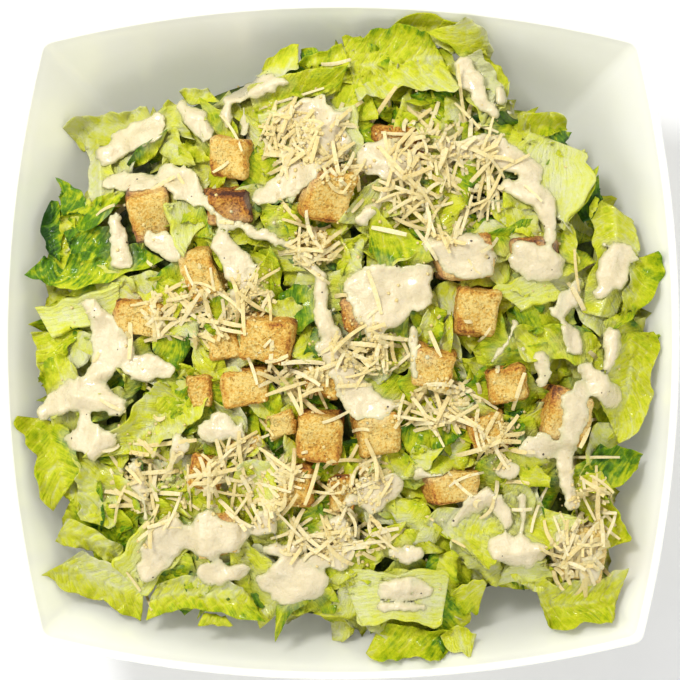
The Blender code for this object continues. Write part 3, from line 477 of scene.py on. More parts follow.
# Form, layer, cup, depth of green from 0 to 1, the widths at both ends and the points of the middle
# line. Layer 0 lies under the croutons, layer 1 over them.
LEAVES = (
    # Back left
    ("frill", 0, 3, 0.22, (12, 11), ((-104, 77), (-87, 81), (-70, 84))),
    ("fold", 0, 2, 0.20, (11, 9), ((-93, 78), (-91, 64), (-90, 50))),
    ("blade", 0, 2, 0.30, (6, 5), ((-60, 92), (-47, 92))),
    ("frill", 0, 2, 0.38, (12, 11), ((-71, 86), (-63, 83), (-56, 78))),
    ("blade", 0, 2, 0.45, (12, 11), ((-52, 87), (-46, 80), (-41, 72))),
    ("blade", 0, 1, 0.60, (6, 6), ((-65, 77), (-80, 65))),
    ("blade", 0, 1, 0.90, (9, 8), ((-108, 54), (-109, 41), (-107, 30))),
    ("blade", 0, 1, 0.80, (10, 9), ((-107, 59), (-102, 53), (-98, 47))),
    ("blade", 0, 2, 0.62, (10, 9), ((-105, 41), (-80, 55))),
    ("rib", 1, 1, 0.15, (12, 11), ((-59, 53), (-55, 36))),
    ("blade", 0, 1, 0.45, (8, 8), ((-61, 72), (-52, 66))),
    ("blade", 0, 1, 0.35, (5, 4), ((-63, 57), (-63, 42))),
    # Back
    ("blade", 0, 2, 0.28, (12, 10), ((22, 118), (37, 116), (50, 108))),
    ("blade", 0, 1, 0.90, (8, 8), ((-15, 109), (-6, 103))),
    ("blade", 0, 2, 0.25, (10, 10), ((-31, 100), (-15, 107))),
    ("blade", 0, 2, 0.45, (9, 9), ((-13, 101), (3, 107))),
    ("blade", 0, 1, 0.45, (11, 9), ((-35, 90), (-17, 94), (3, 98))),
    ("crinkle", 0, 3, 0.40, (26, 24), ((2, 103), (20, 104), (40, 107))),
    ("rib", 0, 1, 0.10, (12, 12), ((0, 87), (4, 65))),
    ("rib", 0, 1, 0.12, (16, 14), ((-30, 78), (-10, 70))),
    ("blade", 0, 2, 0.50, (13, 12), ((-30, 50), (-16, 37))),
    ("blade", 1, 1, 0.20, (15, 13), ((3, 50), (20, 53), (36, 59))),
    ("blade", 1, 1, 0.42, (9, 8), ((31, 66), (37, 53))),
    ("blade", 1, 2, 0.55, (15, 13), ((10, 40), (30, 27))),
    # Back right
    ("blade", 0, 2, 0.25, (12, 11), ((39, 118), (49, 112), (58, 107))),
    ("blade", 0, 1, 0.30, (9, 8), ((53, 107), (61, 95))),
    ("blade", 0, 1, 0.85, (10, 9), ((48, 81), (66, 81))),
    ("frill", 0, 2, 0.40, (12, 12), ((51, 84), (61, 95))),
    ("blade", 0, 1, 0.85, (5, 5), ((78, 75), (88, 78))),
    ("frill", 0, 3, 0.40, (10, 9), ((66, 77), (76, 81), (87, 81))),
    ("blade", 0, 1, 0.85, (9, 9), ((89, 47), (98, 58))),
    ("blade", 0, 0, 0.50, (5, 4), ((97, 66), (91, 54), (83, 43))),
    ("fold", 0, 2, 0.35, (18, 15), ((103, 52), (103, 30), (96, 7))),
    ("blade", 0, 1, 0.20, (13, 11), ((52, 50), (67, 46), (81, 40))),
    ("rib", 0, 1, 0.13, (32, 14), ((82, 76), (81, 59), (78, 44))),
    ("frill", 0, 2, 0.14, (16, 13), ((46, 107), (52, 97), (57, 86))),
    # Left
    ("blade", 0, 1, 0.85, (9, 8), ((-116, 28), (-101, 22))),
    ("blade", 0, 1, 0.75, (12, 11), ((-103, 36), (-83, 36))),
    ("blade", 0, 2, 0.70, (13, 10), ((-106, 25), (-87, 28), (-69, 33))),
    ("blade", 0, 1, 0.45, (19, 6), ((-107, 4), (-110, -12))),
    ("rib", 0, 1, 0.15, (12, 9), ((-113, 7), (-98, 10), (-81, 17))),
    ("frill", 0, 2, 0.40, (15, 13), ((-111, -22), (-101, -7))),
    ("crinkle", 0, 2, 0.52, (19, 16), ((-111, -29), (-107, -43), (-103, -59))),
    ("frill", 0, 2, 0.42, (10, 9), ((-99, -29), (-78, -20))),
    ("crinkle", 0, 3, 0.27, (18, 17), ((-56, -18), (-67, -29), (-84, -44))),
    # Centre
    ("crinkle", 0, 1, 0.85, (12, 12), ((-12, 0), (-1, -4))),
    ("blade", 0, 1, 0.45, (10, 9), ((-27, 32), (-25, 11))),
    ("blade", 0, 1, 0.22, (10, 9), ((-24, 15), (-12, 5))),
    ("crinkle", 0, 1, 0.35, (9, 9), ((4, 36), (4, 18))),
    ("blade", 0, 2, 0.40, (12, 11), ((9, 29), (30, 37))),
    ("blade", 0, 1, 0.45, (8, 7), ((24, 24), (31, 17))),
    ("blade", 0, 1, 0.30, (5, 5), ((3, -4), (20, 0))),
    ("blade", 0, 1, 0.20, (10, 9), ((6, -13), (21, -10))),
    ("blade", 0, 1, 0.35, (9, 8), ((33, 11), (35, -2))),
    ("blade", 0, 2, 0.60, (12, 11), ((33, -38), (46, -26))),
    ("blade", 0, 1, 0.30, (10, 9), ((24, -47), (36, -40))),
    # Right
    ("blade", 0, 1, 0.40, (7, 7), ((84, 42), (86, 28))),
    ("frill", 0, 2, 0.42, (12, 11), ((115, 33), (112, 18), (104, 7))),
    ("blade", 0, 1, 0.50, (5, 4), ((115, 1), (120, 0))),
    ("crinkle", 0, 3, 0.38, (21, 17), ((108, 4), (109, -15), (101, -34))),
    ("blade", 0, 1, 0.90, (9, 8), ((64, -26), (64, -39))),
    ("blade", 0, 2, 0.72, (16, 14), ((90, -45), (102, -47), (114, -45))),
    ("rib", 1, 1, 0.20, (12, 10), ((61, 15), (80, 21))),
    ("frill", 1, 2, 0.42, (14, 12), ((64, -1), (81, -1), (97, -6))),
    # Front left
    ("crinkle", 0, 1, 0.30, (10, 9), ((-107, -72), (-93, -76), (-80, -84))),
    ("crinkle", 0, 2, 0.22, (17, 16), ((-106, -84), (-90, -91), (-73, -99))),
    ("frill", 0, 2, 0.22, (18, 15), ((-91, -44), (-89, -57), (-92, -70))),
    ("crinkle", 0, 2, 0.36, (13, 12), ((-73, -98), (-52, -95), (-30, -100))),
    ("blade", 0, 0, 0.50, (5, 4), ((-53, -105), (-41, -106))),
    ("rib", 0, 1, 0.18, (19, 17), ((-81, -91), (-70, -80), (-60, -68))),
    # Front
    ("blade", 0, 1, 0.45, (9, 9), ((19, -68), (12, -78), (3, -84))),
    ("blade", 0, 1, 0.35, (12, 11), ((-12, -84), (1, -93))),
    ("fold", 0, 1, 0.60, (10, 9), ((-1, -94), (-15, -94), (-25, -111))),
    ("frill", 0, 2, 0.50, (12, 11), ((11, -113), (28, -114), (45, -115))),
    ("rib", 0, 1, 0.12, (21, 19), ((3, -98), (22, -96), (41, -98))),
    ("blade", 0, 1, 0.38, (15, 14), ((42, -96), (54, -97))),
    ("blade", 0, 1, 0.35, (10, 9), ((38, -111), (51, -115))),
    # Front right
    ("crinkle", 0, 3, 0.25, (26, 22), ((41, -76), (61, -70), (80, -63))),
    ("blade", 0, 1, 0.40, (10, 9), ((67, -44), (75, -55))),
    ("blade", 0, 1, 0.45, (9, 8), ((82, -55), (101, -53))),
    ("blade", 0, 2, 0.45, (12, 11), ((98, -61), (104, -78))),
    ("crinkle", 0, 3, 0.36, (19, 17), ((74, -98), (91, -99), (107, -94))),
    ("rib", 0, 1, 0.12, (8, 7), ((60, -88), (79, -86))),
)

LEAF_THICK = 0.0012
RIB_THICK = 0.0030
LEAF_CLEAR = 0.0008
LEAF_SEED = 40
LEAF_TILT = 5.0  # millimetres, as are the three after it
LEAF_ROLL = 3.0
LEAF_ARCH = (-0.5, 2.0)
FOLD_DEPTH = 6.0
BLUNT_END = 0.3  # share of the width that is left at a leaf's rounded ends
RAGGED_WAVES = ((0.12, 1.3, 1), (0.06, 3.1, 2))  # height, turns along the leaf and share of the side's phase
FRILL_TURNS = 2.2
FRILL = {"blade": 1.0, "rib": 0.3, "frill": 2.8, "crinkle": 1.6, "fold": 0.8}
CUPPING = 2.0
PUSH_SAMPLES = (33, 17)  # along and across a leaf
LEAF_SOFTENING = 6
MOST_PUSH = 5.0
SHOWN_FROM = 20  # percent of a leaf that may lie under what is there already
TOUCHING = 25  # percent of a leaf that touches what it lies on
TOUCH_DEPTH = 0.0007

bed_surface = np.maximum(bed_height(GRID_X, GRID_Y), wall_height(GRID_X, GRID_Y) + BED_GAP)


class Heights:
    """Heights of the heap on a square grid, read between its cells and raised by what is laid down."""

    def __init__(self, cell, values):
        self.cell = cell
        self.values = values

    def sample(self, x, y, values=None):
        """Height at each place, of this grid or of other values on the same cells."""
        values = self.values if values is None else values
        size = len(values)
        column = np.clip((x + SPAN) / self.cell, 0, size - 1.001)
        row = np.clip((y + SPAN) / self.cell, 0, size - 1.001)
        left, low = column.astype(int), row.astype(int)
        across, up = column - left, row - low
        near = values[low, left] * (1 - across) + values[low, left + 1] * across
        far = values[low + 1, left] * (1 - across) + values[low + 1, left + 1] * across
        return near * (1 - up) + far * up

    def lift(self, x, y, z):
        """Raises the cells under these points to them."""
        size = len(self.values)
        column = np.clip(np.rint((x + SPAN) / self.cell).astype(int), 0, size - 1)
        row = np.clip(np.rint((y + SPAN) / self.cell).astype(int), 0, size - 1)
        np.maximum.at(self.values, (row, column), z)


def softened(heights, turns):
    """The grid after some turns of averaging each cell with its neighbours."""
    for _ in range(turns):
        wide = np.pad(heights, 1, mode="edge")
        rows = (wide[:-2] + wide[1:-1] + wide[2:]) / 3
        heights = (rows[:, :-2] + rows[:, 1:-1] + rows[:, 2:]) / 3
    return heights


FINE_CELL = 0.0008
fine_axis = np.arange(-SPAN, SPAN + FINE_CELL / 2, FINE_CELL)
fine_x, fine_y = np.meshgrid(fine_axis, fine_axis)
rest_on = Heights(CELL, bed_surface)  # what the pieces are laid on
seen_top = Heights(FINE_CELL, np.maximum(core_height(fine_x, fine_y), wall_height(fine_x, fine_y)))


def inside_rim(x, y):
    """Draws points in from the rim, so that nothing hangs over it."""
    limit = outline(np.arctan2(y, x), RIM_HALF - WALL - LEAF_CLEAR, 0)
    share = np.minimum(1, limit / np.maximum(np.hypot(x, y), MM))
    return x * share, y * share


def line_point(points, along):
    """Point and direction on a middle line of two or three points."""
    first, last = np.array(points[0], float), np.array(points[-1], float)
    middle = np.array(points[1], float) if len(points) == 3 else (first + last) / 2
    along = np.asarray(along)[..., None]
    spot = (
        first * 2 * (along - 0.5) * (along - 1)
        + middle * 4 * along * (1 - along)
        + last * 2 * along * (along - 0.5)
    )
    heading = first * (4 * along - 3) + middle * (4 - 8 * along) + last * (4 * along - 1)
    return spot, heading / np.linalg.norm(heading, axis=-1, keepdims=True)


def blunt_ends(along):
    """Share of a leaf's width that shows along it, where its ends are rounded."""
    return BLUNT_END + (1 - BLUNT_END) * np.sqrt(np.clip(1 - np.abs(2 * along - 1) ** 5, 0, 1))


def leaf_form(leaf, seed, along, across):
    """X, Y and relief in metres over a leaf, for shares along it (0 to 1) and across it (-1 to 1)."""
    form, _, cup, _, widths, points = leaf
    draw = random.Random(seed)
    phases = [draw.uniform(0, math.tau) for _ in range(4)]
    tilt = draw.uniform(-LEAF_TILT, LEAF_TILT)
    roll = draw.uniform(-LEAF_ROLL, LEAF_ROLL)
    arch = draw.uniform(*LEAF_ARCH)
    spot, heading = line_point(points, along)
    side = np.where(across < 0, phases[0], phases[1])
    half = (widths[0] + (widths[1] - widths[0]) * along) / 2
    ragged = 1.0
    for high, turns, share in RAGGED_WAVES:
        ragged = ragged + high * np.sin(math.tau * turns * along + share * side)
    reach = across * half * blunt_ends(along) * ragged
    x = (spot[..., 0] - heading[..., 1] * reach) * MM
    y = (spot[..., 1] + heading[..., 0] * reach) * MM
    wave = FRILL[form] * across**2 * np.sin(math.tau * FRILL_TURNS * along + side + phases[2])
    fold = -FOLD_DEPTH * np.abs(across) if form == "fold" else 0
    bend = CUPPING * cup * across**2 + wave + fold
    bend = bend + tilt * (along - 0.5) + roll * across + arch * np.sin(math.pi * along)
    return x, y, bend * MM


def leaf_push(leaf, seed, bed):
    """How far a leaf is moved up or down, so that most of it shows and part of it touches the heap."""
    along, across = np.meshgrid(np.linspace(0, 1, PUSH_SAMPLES[0]), np.linspace(-1, 1, PUSH_SAMPLES[1]))
    x, y, bend = leaf_form(leaf, seed, along, across)
    x, y = inside_rim(x, y)
    over = rest_on.sample(x, y, bed) + bend - rest_on.sample(x, y)
    thick = RIB_THICK if leaf[0] == "rib" else LEAF_THICK
    hidden = min(-np.percentile(over, SHOWN_FROM), MOST_PUSH * MM)
    hovering = thick - TOUCH_DEPTH - np.percentile(over, TOUCHING)
    push = min(hidden, hovering)
    z = rest_on.sample(x, y, bed) + bend + push
    return push, (x, y, np.maximum(z, wall_height(x, y) + thick + LEAF_CLEAR))


POINTED = {"blade": 0.45, "rib": 0.1, "frill": 0.3, "crinkle": 0.25, "fold": 0.3}  # chance of a pointed end
POINTED_END = ((0.08, 0.35), (0.3, 0.5))  # width left at the tip, and the share of the length that it takes
CHOPPED_END = ((0.7, 0.95), (0.04, 0.16))
CUT_SLANT = 0.45  # how far a cut runs off square, as a share of the width
CUT_MARGIN = 0.04  # share of the length that a cut takes off
JAGS = ((0.12, 6.0, 6), (0.05, 2.3, 7))  # share of the width, size in millimetres and seed


def chopped(leaf, seed, along, across, u):
    """Where the knife cut the leaf: its place along moved by slanting cuts, and its share of the width."""
    form, _, _, _, widths, _ = leaf
    draw = random.Random(seed + 900)
    profile = np.ones_like(along)
    moved = along
    for near, way in ((along, 1), (1 - along, -1)):
        tips, tapers = POINTED_END if draw.random() < POINTED[form] else CHOPPED_END
        tip, taper = draw.uniform(*tips), draw.uniform(*tapers)
        profile = np.minimum(profile, tip + (1 - tip) * np.clip(near / taper, 0, 1) ** 0.8)
        slant = draw.uniform(-CUT_SLANT, CUT_SLANT) * max(widths) / float(u.max())
        moved = moved + way * (slant * across + CUT_MARGIN) * (1 - near) ** 6
    edge = np.sign(across) * 9
    jagged = sum(high * soft_noise(u, edge, size, seed + more, True) for high, size, more in JAGS)
    return moved, profile * (1 + jagged * np.abs(across)) / blunt_ends(moved)


LEAF_GRAIN = 0.6  # size of a leaf's mesh in millimetres
LEAF_LAYERS = ("green", "over_veins", "down_veins")  # what the leaf's points carry for its finish
BLADE_THICK = 0.0005
BLISTER = {"blade": 0.50, "frill": 0.85, "crinkle": 1.20, "fold": 0.50}
BLISTER_SIZE = {"blade": 4.2, "frill": 4.4, "crinkle": 4.8, "fold": 4.0}
VEIN_SPACING = 6.5
VEIN_WIDTH = 0.55
VEIN_SLANT = (28, 52)  # degrees off the middle line
STEM_WIDTH = 2.2 * VEIN_WIDTH
STEM_RISE = 0.35
STEM_WANDER = 0.3  # share of the veins' bends that the stem takes
VEIN_RAKE = 0.9  # how far a side vein runs along the stem for each millimetre away from it
VEIN_DIP = 0.25
VEIN_FLATTENS = 0.6  # share of a blister's height that a side vein takes off
VEIN_TINT = 0.16  # how much paler the veins are
NET_WIDTH = 0.10  # the fine veins round each blister
NET_TINT = 0.02
PILLOW_EDGE = 0.28  # how sharply a blister rises from the veins round it
PILLOW_TINT = 0.16
PILLOW_MIDDLE = 0.6  # height of a blister that keeps the leaf's own green, as a share
VEINS_FULL = 2.5  # how fast the veins grow clearer as the green deepens
FINE_BLISTERS = (0.22, 1.9, 0.3)  # share of a blister's height, size and sharpness of the small ones on it
WANDER = (1.6, 9.0)  # how far the veins bend and over what length
LEAF_WAVES = (0.45, 6.5)  # height and size of the soft waves in a blade, for the blisters after it
WAVES_BLISTER = 0.35
CREASE = 1.8  # drop from the crease that runs along a blade to its sides
BUCKLE = (0.9, 12.0)
TINT_DRIFT = 0.24  # most change of green from a leaf's middle line to its side
TINTS = ((0.13, 8.0, 4), (0.05, 3.5, 11))  # share, size and seed of the uneven green
RIB_GROOVE = 2.3  # spacing of the grooves along a rib
RIB_GROOVE_DEPTH = 0.07
RIB_CROWN = 0.8
RIB_WAVES = (0.35, 5.0)
RIB_STRETCH = 0.4  # under 1, draws the waves out along the rib
RIB_WANDER = 0.4  # share of the veins' bends that the grooves take
RIB_TINT = (0.10, 0.10, 0.05)  # uneven green, greener sides and paler grooves
RUFFLE_SPACING = 5.5
RUFFLE_UNEVEN = (2.5, 8.0)  # how far out of step the ruffles get, in radians, and over what length
LEAST_STEPS = 8  # along or across a small leaf
THIN_EDGE = (6, 0.35)  # how fast a leaf reaches its thickness in from the edge, and its share there
PATTERN_APART = 40  # millimetres between the places in the streaks that two leaves take, so that they differ
EDGE_RUFFLE = {"blade": 0.5, "rib": 0.0, "frill": 1.6, "crinkle": 0.9, "fold": 0.3}


def rib_detail(green, seed, u, v, across):
    """Relief and green of a thick rib, and the ways across and down its grooves."""
    wander = v + RIB_WANDER * WANDER[0] * soft_noise(u, v, WANDER[1], seed)
    groove = np.sin(math.tau * wander / RIB_GROOVE)
    height = RIB_WAVES[0] * soft_noise(u * RIB_STRETCH, v, RIB_WAVES[1], seed + 1)
    height = height + RIB_CROWN * (1 - across**2)
    height = height + RIB_GROOVE_DEPTH * groove * (1 + soft_noise(u, v, WANDER[1], seed + 7))
    uneven, sides, grooves = RIB_TINT
    tint = green + uneven * soft_noise(u, v, 5.0, seed + 2) + sides * across**2
    return height, tint - grooves * (0.5 + 0.5 * groove), wander, u


def leaf_detail(leaf, seed, u, v, across):
    """Relief and green of a leaf, and the ways across and down its veins, for flat places in millimetres."""
    form, _, _, green, _, _ = leaf
    draw = random.Random(seed + 500)
    slant = math.radians(draw.uniform(*VEIN_SLANT)) * draw.choice((-1, 1))
    offset = draw.uniform(0, VEIN_SPACING)
    drift = draw.uniform(-TINT_DRIFT, TINT_DRIFT)
    if form == "rib":
        return rib_detail(green, seed, u, v, across)
    warp = WANDER[0] * soft_noise(u, v, WANDER[1], seed)
    if form in ("fold", "crinkle"):
        stem = v + STEM_WANDER * warp
        over_veins = u - np.abs(stem) * VEIN_RAKE + offset + warp
        down_veins = np.abs(stem)
        stem_vein = np.exp(-((stem / STEM_WIDTH) ** 2))
    else:
        over_veins = u * math.cos(slant) + v * math.sin(slant) + offset + warp
        down_veins = v * math.cos(slant) - u * math.sin(slant)
        stem_vein = np.zeros_like(u)
    side_vein = np.exp(-((((over_veins % VEIN_SPACING) - VEIN_SPACING / 2) / VEIN_WIDTH) ** 2))
    gap = cell_gap(u + warp, v - 0.5 * warp, BLISTER_SIZE[form], seed)
    fine = cell_gap(u, v, FINE_BLISTERS[1], seed + 9)
    pillow = 1 - np.exp(-gap / PILLOW_EDGE)
    fine_pillow = FINE_BLISTERS[0] * (1 - np.exp(-fine / FINE_BLISTERS[2]))
    height = BLISTER[form] * (pillow * (1 - VEIN_FLATTENS * side_vein) + fine_pillow)
    height = height + STEM_RISE * stem_vein - VEIN_DIP * side_vein
    waves = LEAF_WAVES[0] * (BLISTER[form] / WAVES_BLISTER) ** 0.5
    height = height + waves * soft_noise(u, v, LEAF_WAVES[1], seed + 3)
    crease = v / max(np.abs(v).max(), 1) - draw.uniform(-0.5, 0.5)
    height = height - CREASE * np.abs(crease) + BUCKLE[0] * soft_noise(u, v, BUCKLE[1], seed + 5)
    tint = green + drift * across
    tint = tint + sum(share * soft_noise(u, v, size, seed + more) for share, size, more in TINTS)
    veins = VEIN_TINT * np.maximum(side_vein, stem_vein) + NET_TINT * np.exp(-((gap / NET_WIDTH) ** 2))
    tint = tint + PILLOW_TINT * (pillow - PILLOW_MIDDLE) - min(1, green * VEINS_FULL) * veins
    return height, tint, over_veins, down_veins


COVER_CLEAR = 0.0007
COVER_DEEP = (0.0020, 0.0045)  # a leaf this far under what is there stays under it


def lifted_over(x, y, z):
    """The leaf's heights, raised where it would only just dip into what it lies on."""
    there = np.maximum(seen_top.sample(x, y, softened(seen_top.values, 2)), seen_top.sample(x, y))
    under = there + COVER_CLEAR - z
    stays = np.clip((COVER_DEEP[1] - under) / (COVER_DEEP[1] - COVER_DEEP[0]), 0, 1)
    return z + np.maximum(under, 0) * stays


def closed_sheet(top, thickness):
    """Points and faces of a sheet under a grid of points, closed all round."""
    rows, columns = top.shape[:2]
    normal = np.cross(np.gradient(top, axis=0), np.gradient(top, axis=1))
    turned_over = normal[..., 2].mean() < 0
    normal /= np.maximum(np.linalg.norm(normal, axis=-1, keepdims=True), 1e-12)
    normal *= np.sign(normal[..., 2:3] + 1e-9)
    low = top - normal * thickness[..., None]
    count = rows * columns
    number = np.arange(count).reshape(rows, columns)
    quads = np.stack([number[:-1, :-1], number[1:, :-1], number[1:, 1:], number[:-1, 1:]], -1).reshape(-1, 4)
    rim = np.concatenate([number[0, :], number[1:, -1], number[-1, -2::-1], number[-2:0:-1, 0]])
    after = np.roll(rim, -1)
    sides = np.stack([rim, after, after + count, rim + count], -1)
    faces = np.concatenate([quads, quads[:, ::-1] + count, sides])
    return np.concatenate([top.reshape(-1, 3), low.reshape(-1, 3)]), faces[:, ::-1] if turned_over else faces


def leaf_sheet(leaf, seed, grain_size, sink=0.0, raising=True):
    """Points, faces and surface values of a leaf laid on the heap."""
    form, _, _, _, widths, points = leaf
    bed = softened(rest_on.values, LEAF_SOFTENING)
    push, tops = leaf_push(leaf, seed, bed)
    length = sum(math.dist(a, b) for a, b in zip(points, points[1:]))
    rows = max(int(length / grain_size), LEAST_STEPS)
    columns = max(int(max(widths) * 1.1 / grain_size), LEAST_STEPS)
    along, across = np.meshgrid(np.linspace(0, 1, rows), np.linspace(-1, 1, columns), indexing="ij")
    half = (widths[0] + (widths[1] - widths[0]) * along) / 2
    u, v = along * length, across * half
    moved, share = chopped(leaf, seed, along, across, u)
    x, y, _ = leaf_form(leaf, seed, moved, across * share)
    bend = leaf_form(leaf, seed, along, across)[2]
    x, y = inside_rim(x, y)
    height, tint, over_veins, down_veins = leaf_detail(leaf, seed, u, v, across)
    out_of_step = RUFFLE_UNEVEN[0] * soft_noise(u, v * 0, RUFFLE_UNEVEN[1], seed + 8)
    height = height + EDGE_RUFFLE[form] * across**4 * np.sin(math.tau * u / RUFFLE_SPACING + out_of_step)
    thick = RIB_THICK if form == "rib" else BLADE_THICK
    floor = wall_height(x, y) + thick + LEAF_CLEAR
    z = np.maximum(rest_on.sample(x, y, bed) + bend + push - sink, floor) + height * MM
    z = lifted_over(x, y, np.maximum(z, floor))
    if raising:
        rest_on.lift(*tops)
    seen_top.lift(x, y, z)
    inward = np.minimum(1 - np.abs(across), 2 * np.minimum(along, 1 - along))
    taper = np.minimum(1, THIN_EDGE[0] * inward + THIN_EDGE[1])
    sheet_points, faces = closed_sheet(np.stack([x, y, z], -1), thick * taper)
    values = np.stack([tint, over_veins + PATTERN_APART * (seed % 50), down_veins], -1)
    values = values.reshape(-1, len(LEAF_LAYERS))
    return sheet_points, faces, np.concatenate([values, values])


def mark_points(piece, name, values):
    """Gives each point of a piece a value for its finish to read."""
    layer = piece.data.attributes.new(name, "FLOAT", "POINT")
    layer.data.foreach_set("value", np.ascontiguousarray(values, np.float32))


def heaped_piece(name, sheets, layers):
    """One piece made of many laid sheets, with named values on its points."""
    points, faces, values, first = [], [], [], 0
    for sheet_points, sheet_faces, sheet_values in sheets:
        points.append(sheet_points)
        faces.append(sheet_faces + first)
        values.append(sheet_values)
        first += len(sheet_points)
    piece = piece_of(name, np.concatenate(points), np.concatenate(faces).tolist())
    values = np.concatenate(values)
    for column, layer in enumerate(layers):
        mark_points(piece, layer, values[:, column])
    return piece


def attribute(tree, name):
    """A value that a piece's points carry."""
    return add_node(tree, "ShaderNodeAttribute", attribute_name=name).outputs["Fac"]


def math_node(operation, first, second):
    """A sum, product or the like of a socket with a number or another socket."""
    tree = first.id_data
    made = add_node(tree, "ShaderNodeMath", operation=operation)
    for socket, value in zip(made.inputs, (first, second)):
        if isinstance(value, (int, float)):
            socket.default_value = value
        else:
            tree.links.new(value, socket)
    return made.outputs[0]


def mix_colors(factor, first, second):
    """The second colour over the first, by the factor."""
    tree = factor.id_data
    made = add_node(tree, "ShaderNodeMix", data_type="RGBA")
    for socket, value in ((made.inputs["Factor"], factor), (made.inputs[6], first), (made.inputs[7], second)):
        if isinstance(value, (int, float, tuple)):
            socket.default_value = value
        else:
            tree.links.new(value, socket)
    return made.outputs[2]


LEAF_GREENS = [
    (0.0, hue("DADAA4")),
    (0.15, hue("D7DA78")),
    (0.34, hue("D4D62A")),
    (0.52, hue("B8C412")),
    (0.74, hue("5C8A06")),
    (1.0, hue("1C4404")),
]


DRESSED_LEAF = hue("D6D0B0")


def leaf_material():
    """Moist leaf: green by the points' values, with streaks along the veins and a film of dressing."""
    material, tree, shader = material_of(
        "moist_leaf_finish", Coat_Weight=0.18, Coat_Roughness=0.10, Subsurface_Weight=0.15,
        Subsurface_Scale=0.0012, Subsurface_Radius=(0.8, 1.0, 0.25), Specular_IOR_Level=0.2,
    )
    flat_place = tree.nodes.new("ShaderNodeCombineXYZ")
    tree.links.new(attribute(tree, "over_veins"), flat_place.inputs["X"])
    tree.links.new(math_node("MULTIPLY", attribute(tree, "down_veins"), 0.13), flat_place.inputs["Y"])
    streak_noise = add_node(tree, "ShaderNodeTexNoise", Scale=1.1, Detail=3.0, Roughness=0.55)
    tree.links.new(flat_place.outputs["Vector"], streak_noise.inputs["Vector"])
    streaks = streak_noise.outputs["Fac"]
    green = attribute(tree, "green")
    mottle = math_node("MULTIPLY", math_node("SUBTRACT", grain(tree, 500), 0.5), 0.18)
    strength = math_node("ADD", math_node("MULTIPLY", green, 0.38), 0.36)
    lines = math_node("MULTIPLY", math_node("SUBTRACT", streaks, 0.5), strength)
    uneven_green = math_node("ADD", green, math_node("ADD", mottle, lines))
    film = math_node("MULTIPLY", attribute(tree, "film"), 0.4)
    color = mix_colors(film, ramp_node(tree, uneven_green, LEAF_GREENS), DRESSED_LEAF)
    tree.links.new(color, shader.inputs["Base Color"])
    roughness(tree, shader, grain(tree, 500), 0.34, 0.54)
    relief(tree, shader, math_node("ADD", streaks, math_node("MULTIPLY", grain(tree, 1400), 0.3)), 0.0009)
    return material


leaf_finish = leaf_material()
KINDS = {
    "rib": lambda leaf: leaf[0] == "rib",
    "pale": lambda leaf: leaf[0] != "rib" and leaf[3] < 0.36,
    "lime": lambda leaf: leaf[0] != "rib" and 0.36 <= leaf[3] < 0.5,
    "dark": lambda leaf: leaf[0] != "rib" and leaf[3] >= 0.5,
}


def lay_leaves(layer):
    """Lays the leaves of a layer in their order and makes a piece of each kind."""
    kinds = {kind: [] for kind in KINDS}
    for index, leaf in enumerate(LEAVES):
        if leaf[1] != layer:
            continue
        sheet = leaf_sheet(leaf, LEAF_SEED + index, LEAF_GRAIN)
        for kind, fits in KINDS.items():
            if fits(leaf):
                kinds[kind].append(sheet)
    for kind, sheets in kinds.items():
        if sheets:
            piece = heaped_piece(f"romaine_{kind}_{layer + 1}", sheets, LEAF_LAYERS)
            piece.data.materials.append(leaf_finish)
            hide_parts("salad")
            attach(piece, "root")


FILLER_TIERS = (  # number, how low they lie, and the share of the way out at which they start
    (110, 0.0125, 0.80),
    (150, 0.0052, 0.0),
    (230, 0.0026, 0.0),
)
FILLER_SEED = 90
FILLER_GRAIN = 1.8
FILLER_REACH = 0.97  # share of the heap that they keep within
FILLER_HALF = (9, 16)  # millimetres, as are the two after it
FILLER_WIDTH = (10, 16)
FILLER_SPAN = 120
FILLER_GREEN = (0.14, 0.72)


def filler_leaf(draw, nearest):
    """A leaf placed at random, wholly within the heap."""
    while True:
        x, y = draw.uniform(-FILLER_SPAN, FILLER_SPAN), draw.uniform(-FILLER_SPAN, FILLER_SPAN)
        way, half, width = draw.uniform(0, math.tau), draw.uniform(*FILLER_HALF), draw.uniform(*FILLER_WIDTH)
        ahead = np.array((math.cos(way), math.sin(way))) * half
        aside = np.array((-math.sin(way), math.cos(way))) * width / 2
        spots = np.array((x, y)) + np.array([ahead, -ahead, aside, -aside, (0, 0)])
        shares = heap_reach(spots[:, 0] * MM, spots[:, 1] * MM)
        if shares.max() < FILLER_REACH and shares[-1] > nearest:
            break
    form = draw.choice(("blade", "blade", "frill", "crinkle"))
    return (form, 0, 1, draw.uniform(*FILLER_GREEN), (width, width * 0.9), (tuple(spots[0]), tuple(spots[1])))


def lay_fillers():
    """Smaller pieces of leaf in the gaps, lower than those that show."""
    draw = random.Random(FILLER_SEED)
    for tier, (number, sink, nearest) in enumerate(FILLER_TIERS):
        first = FILLER_SEED + 300 * tier
        seeds = range(first, first + number)
        sheets = [leaf_sheet(filler_leaf(draw, nearest), seed, FILLER_GRAIN, sink, False) for seed in seeds]
        piece = heaped_piece(f"romaine_under_{tier + 1}", sheets, LEAF_LAYERS)
        piece.data.materials.append(leaf_finish)
        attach(piece, "root")


lay_fillers()
lay_leaves(0)


# The croutons
# Uneven cubes cut from a white loaf and toasted: open golden crumb on most sides, browner edges and
# corners, and a darker crust on some. They lie loose on the leaves, each leaning its own way.

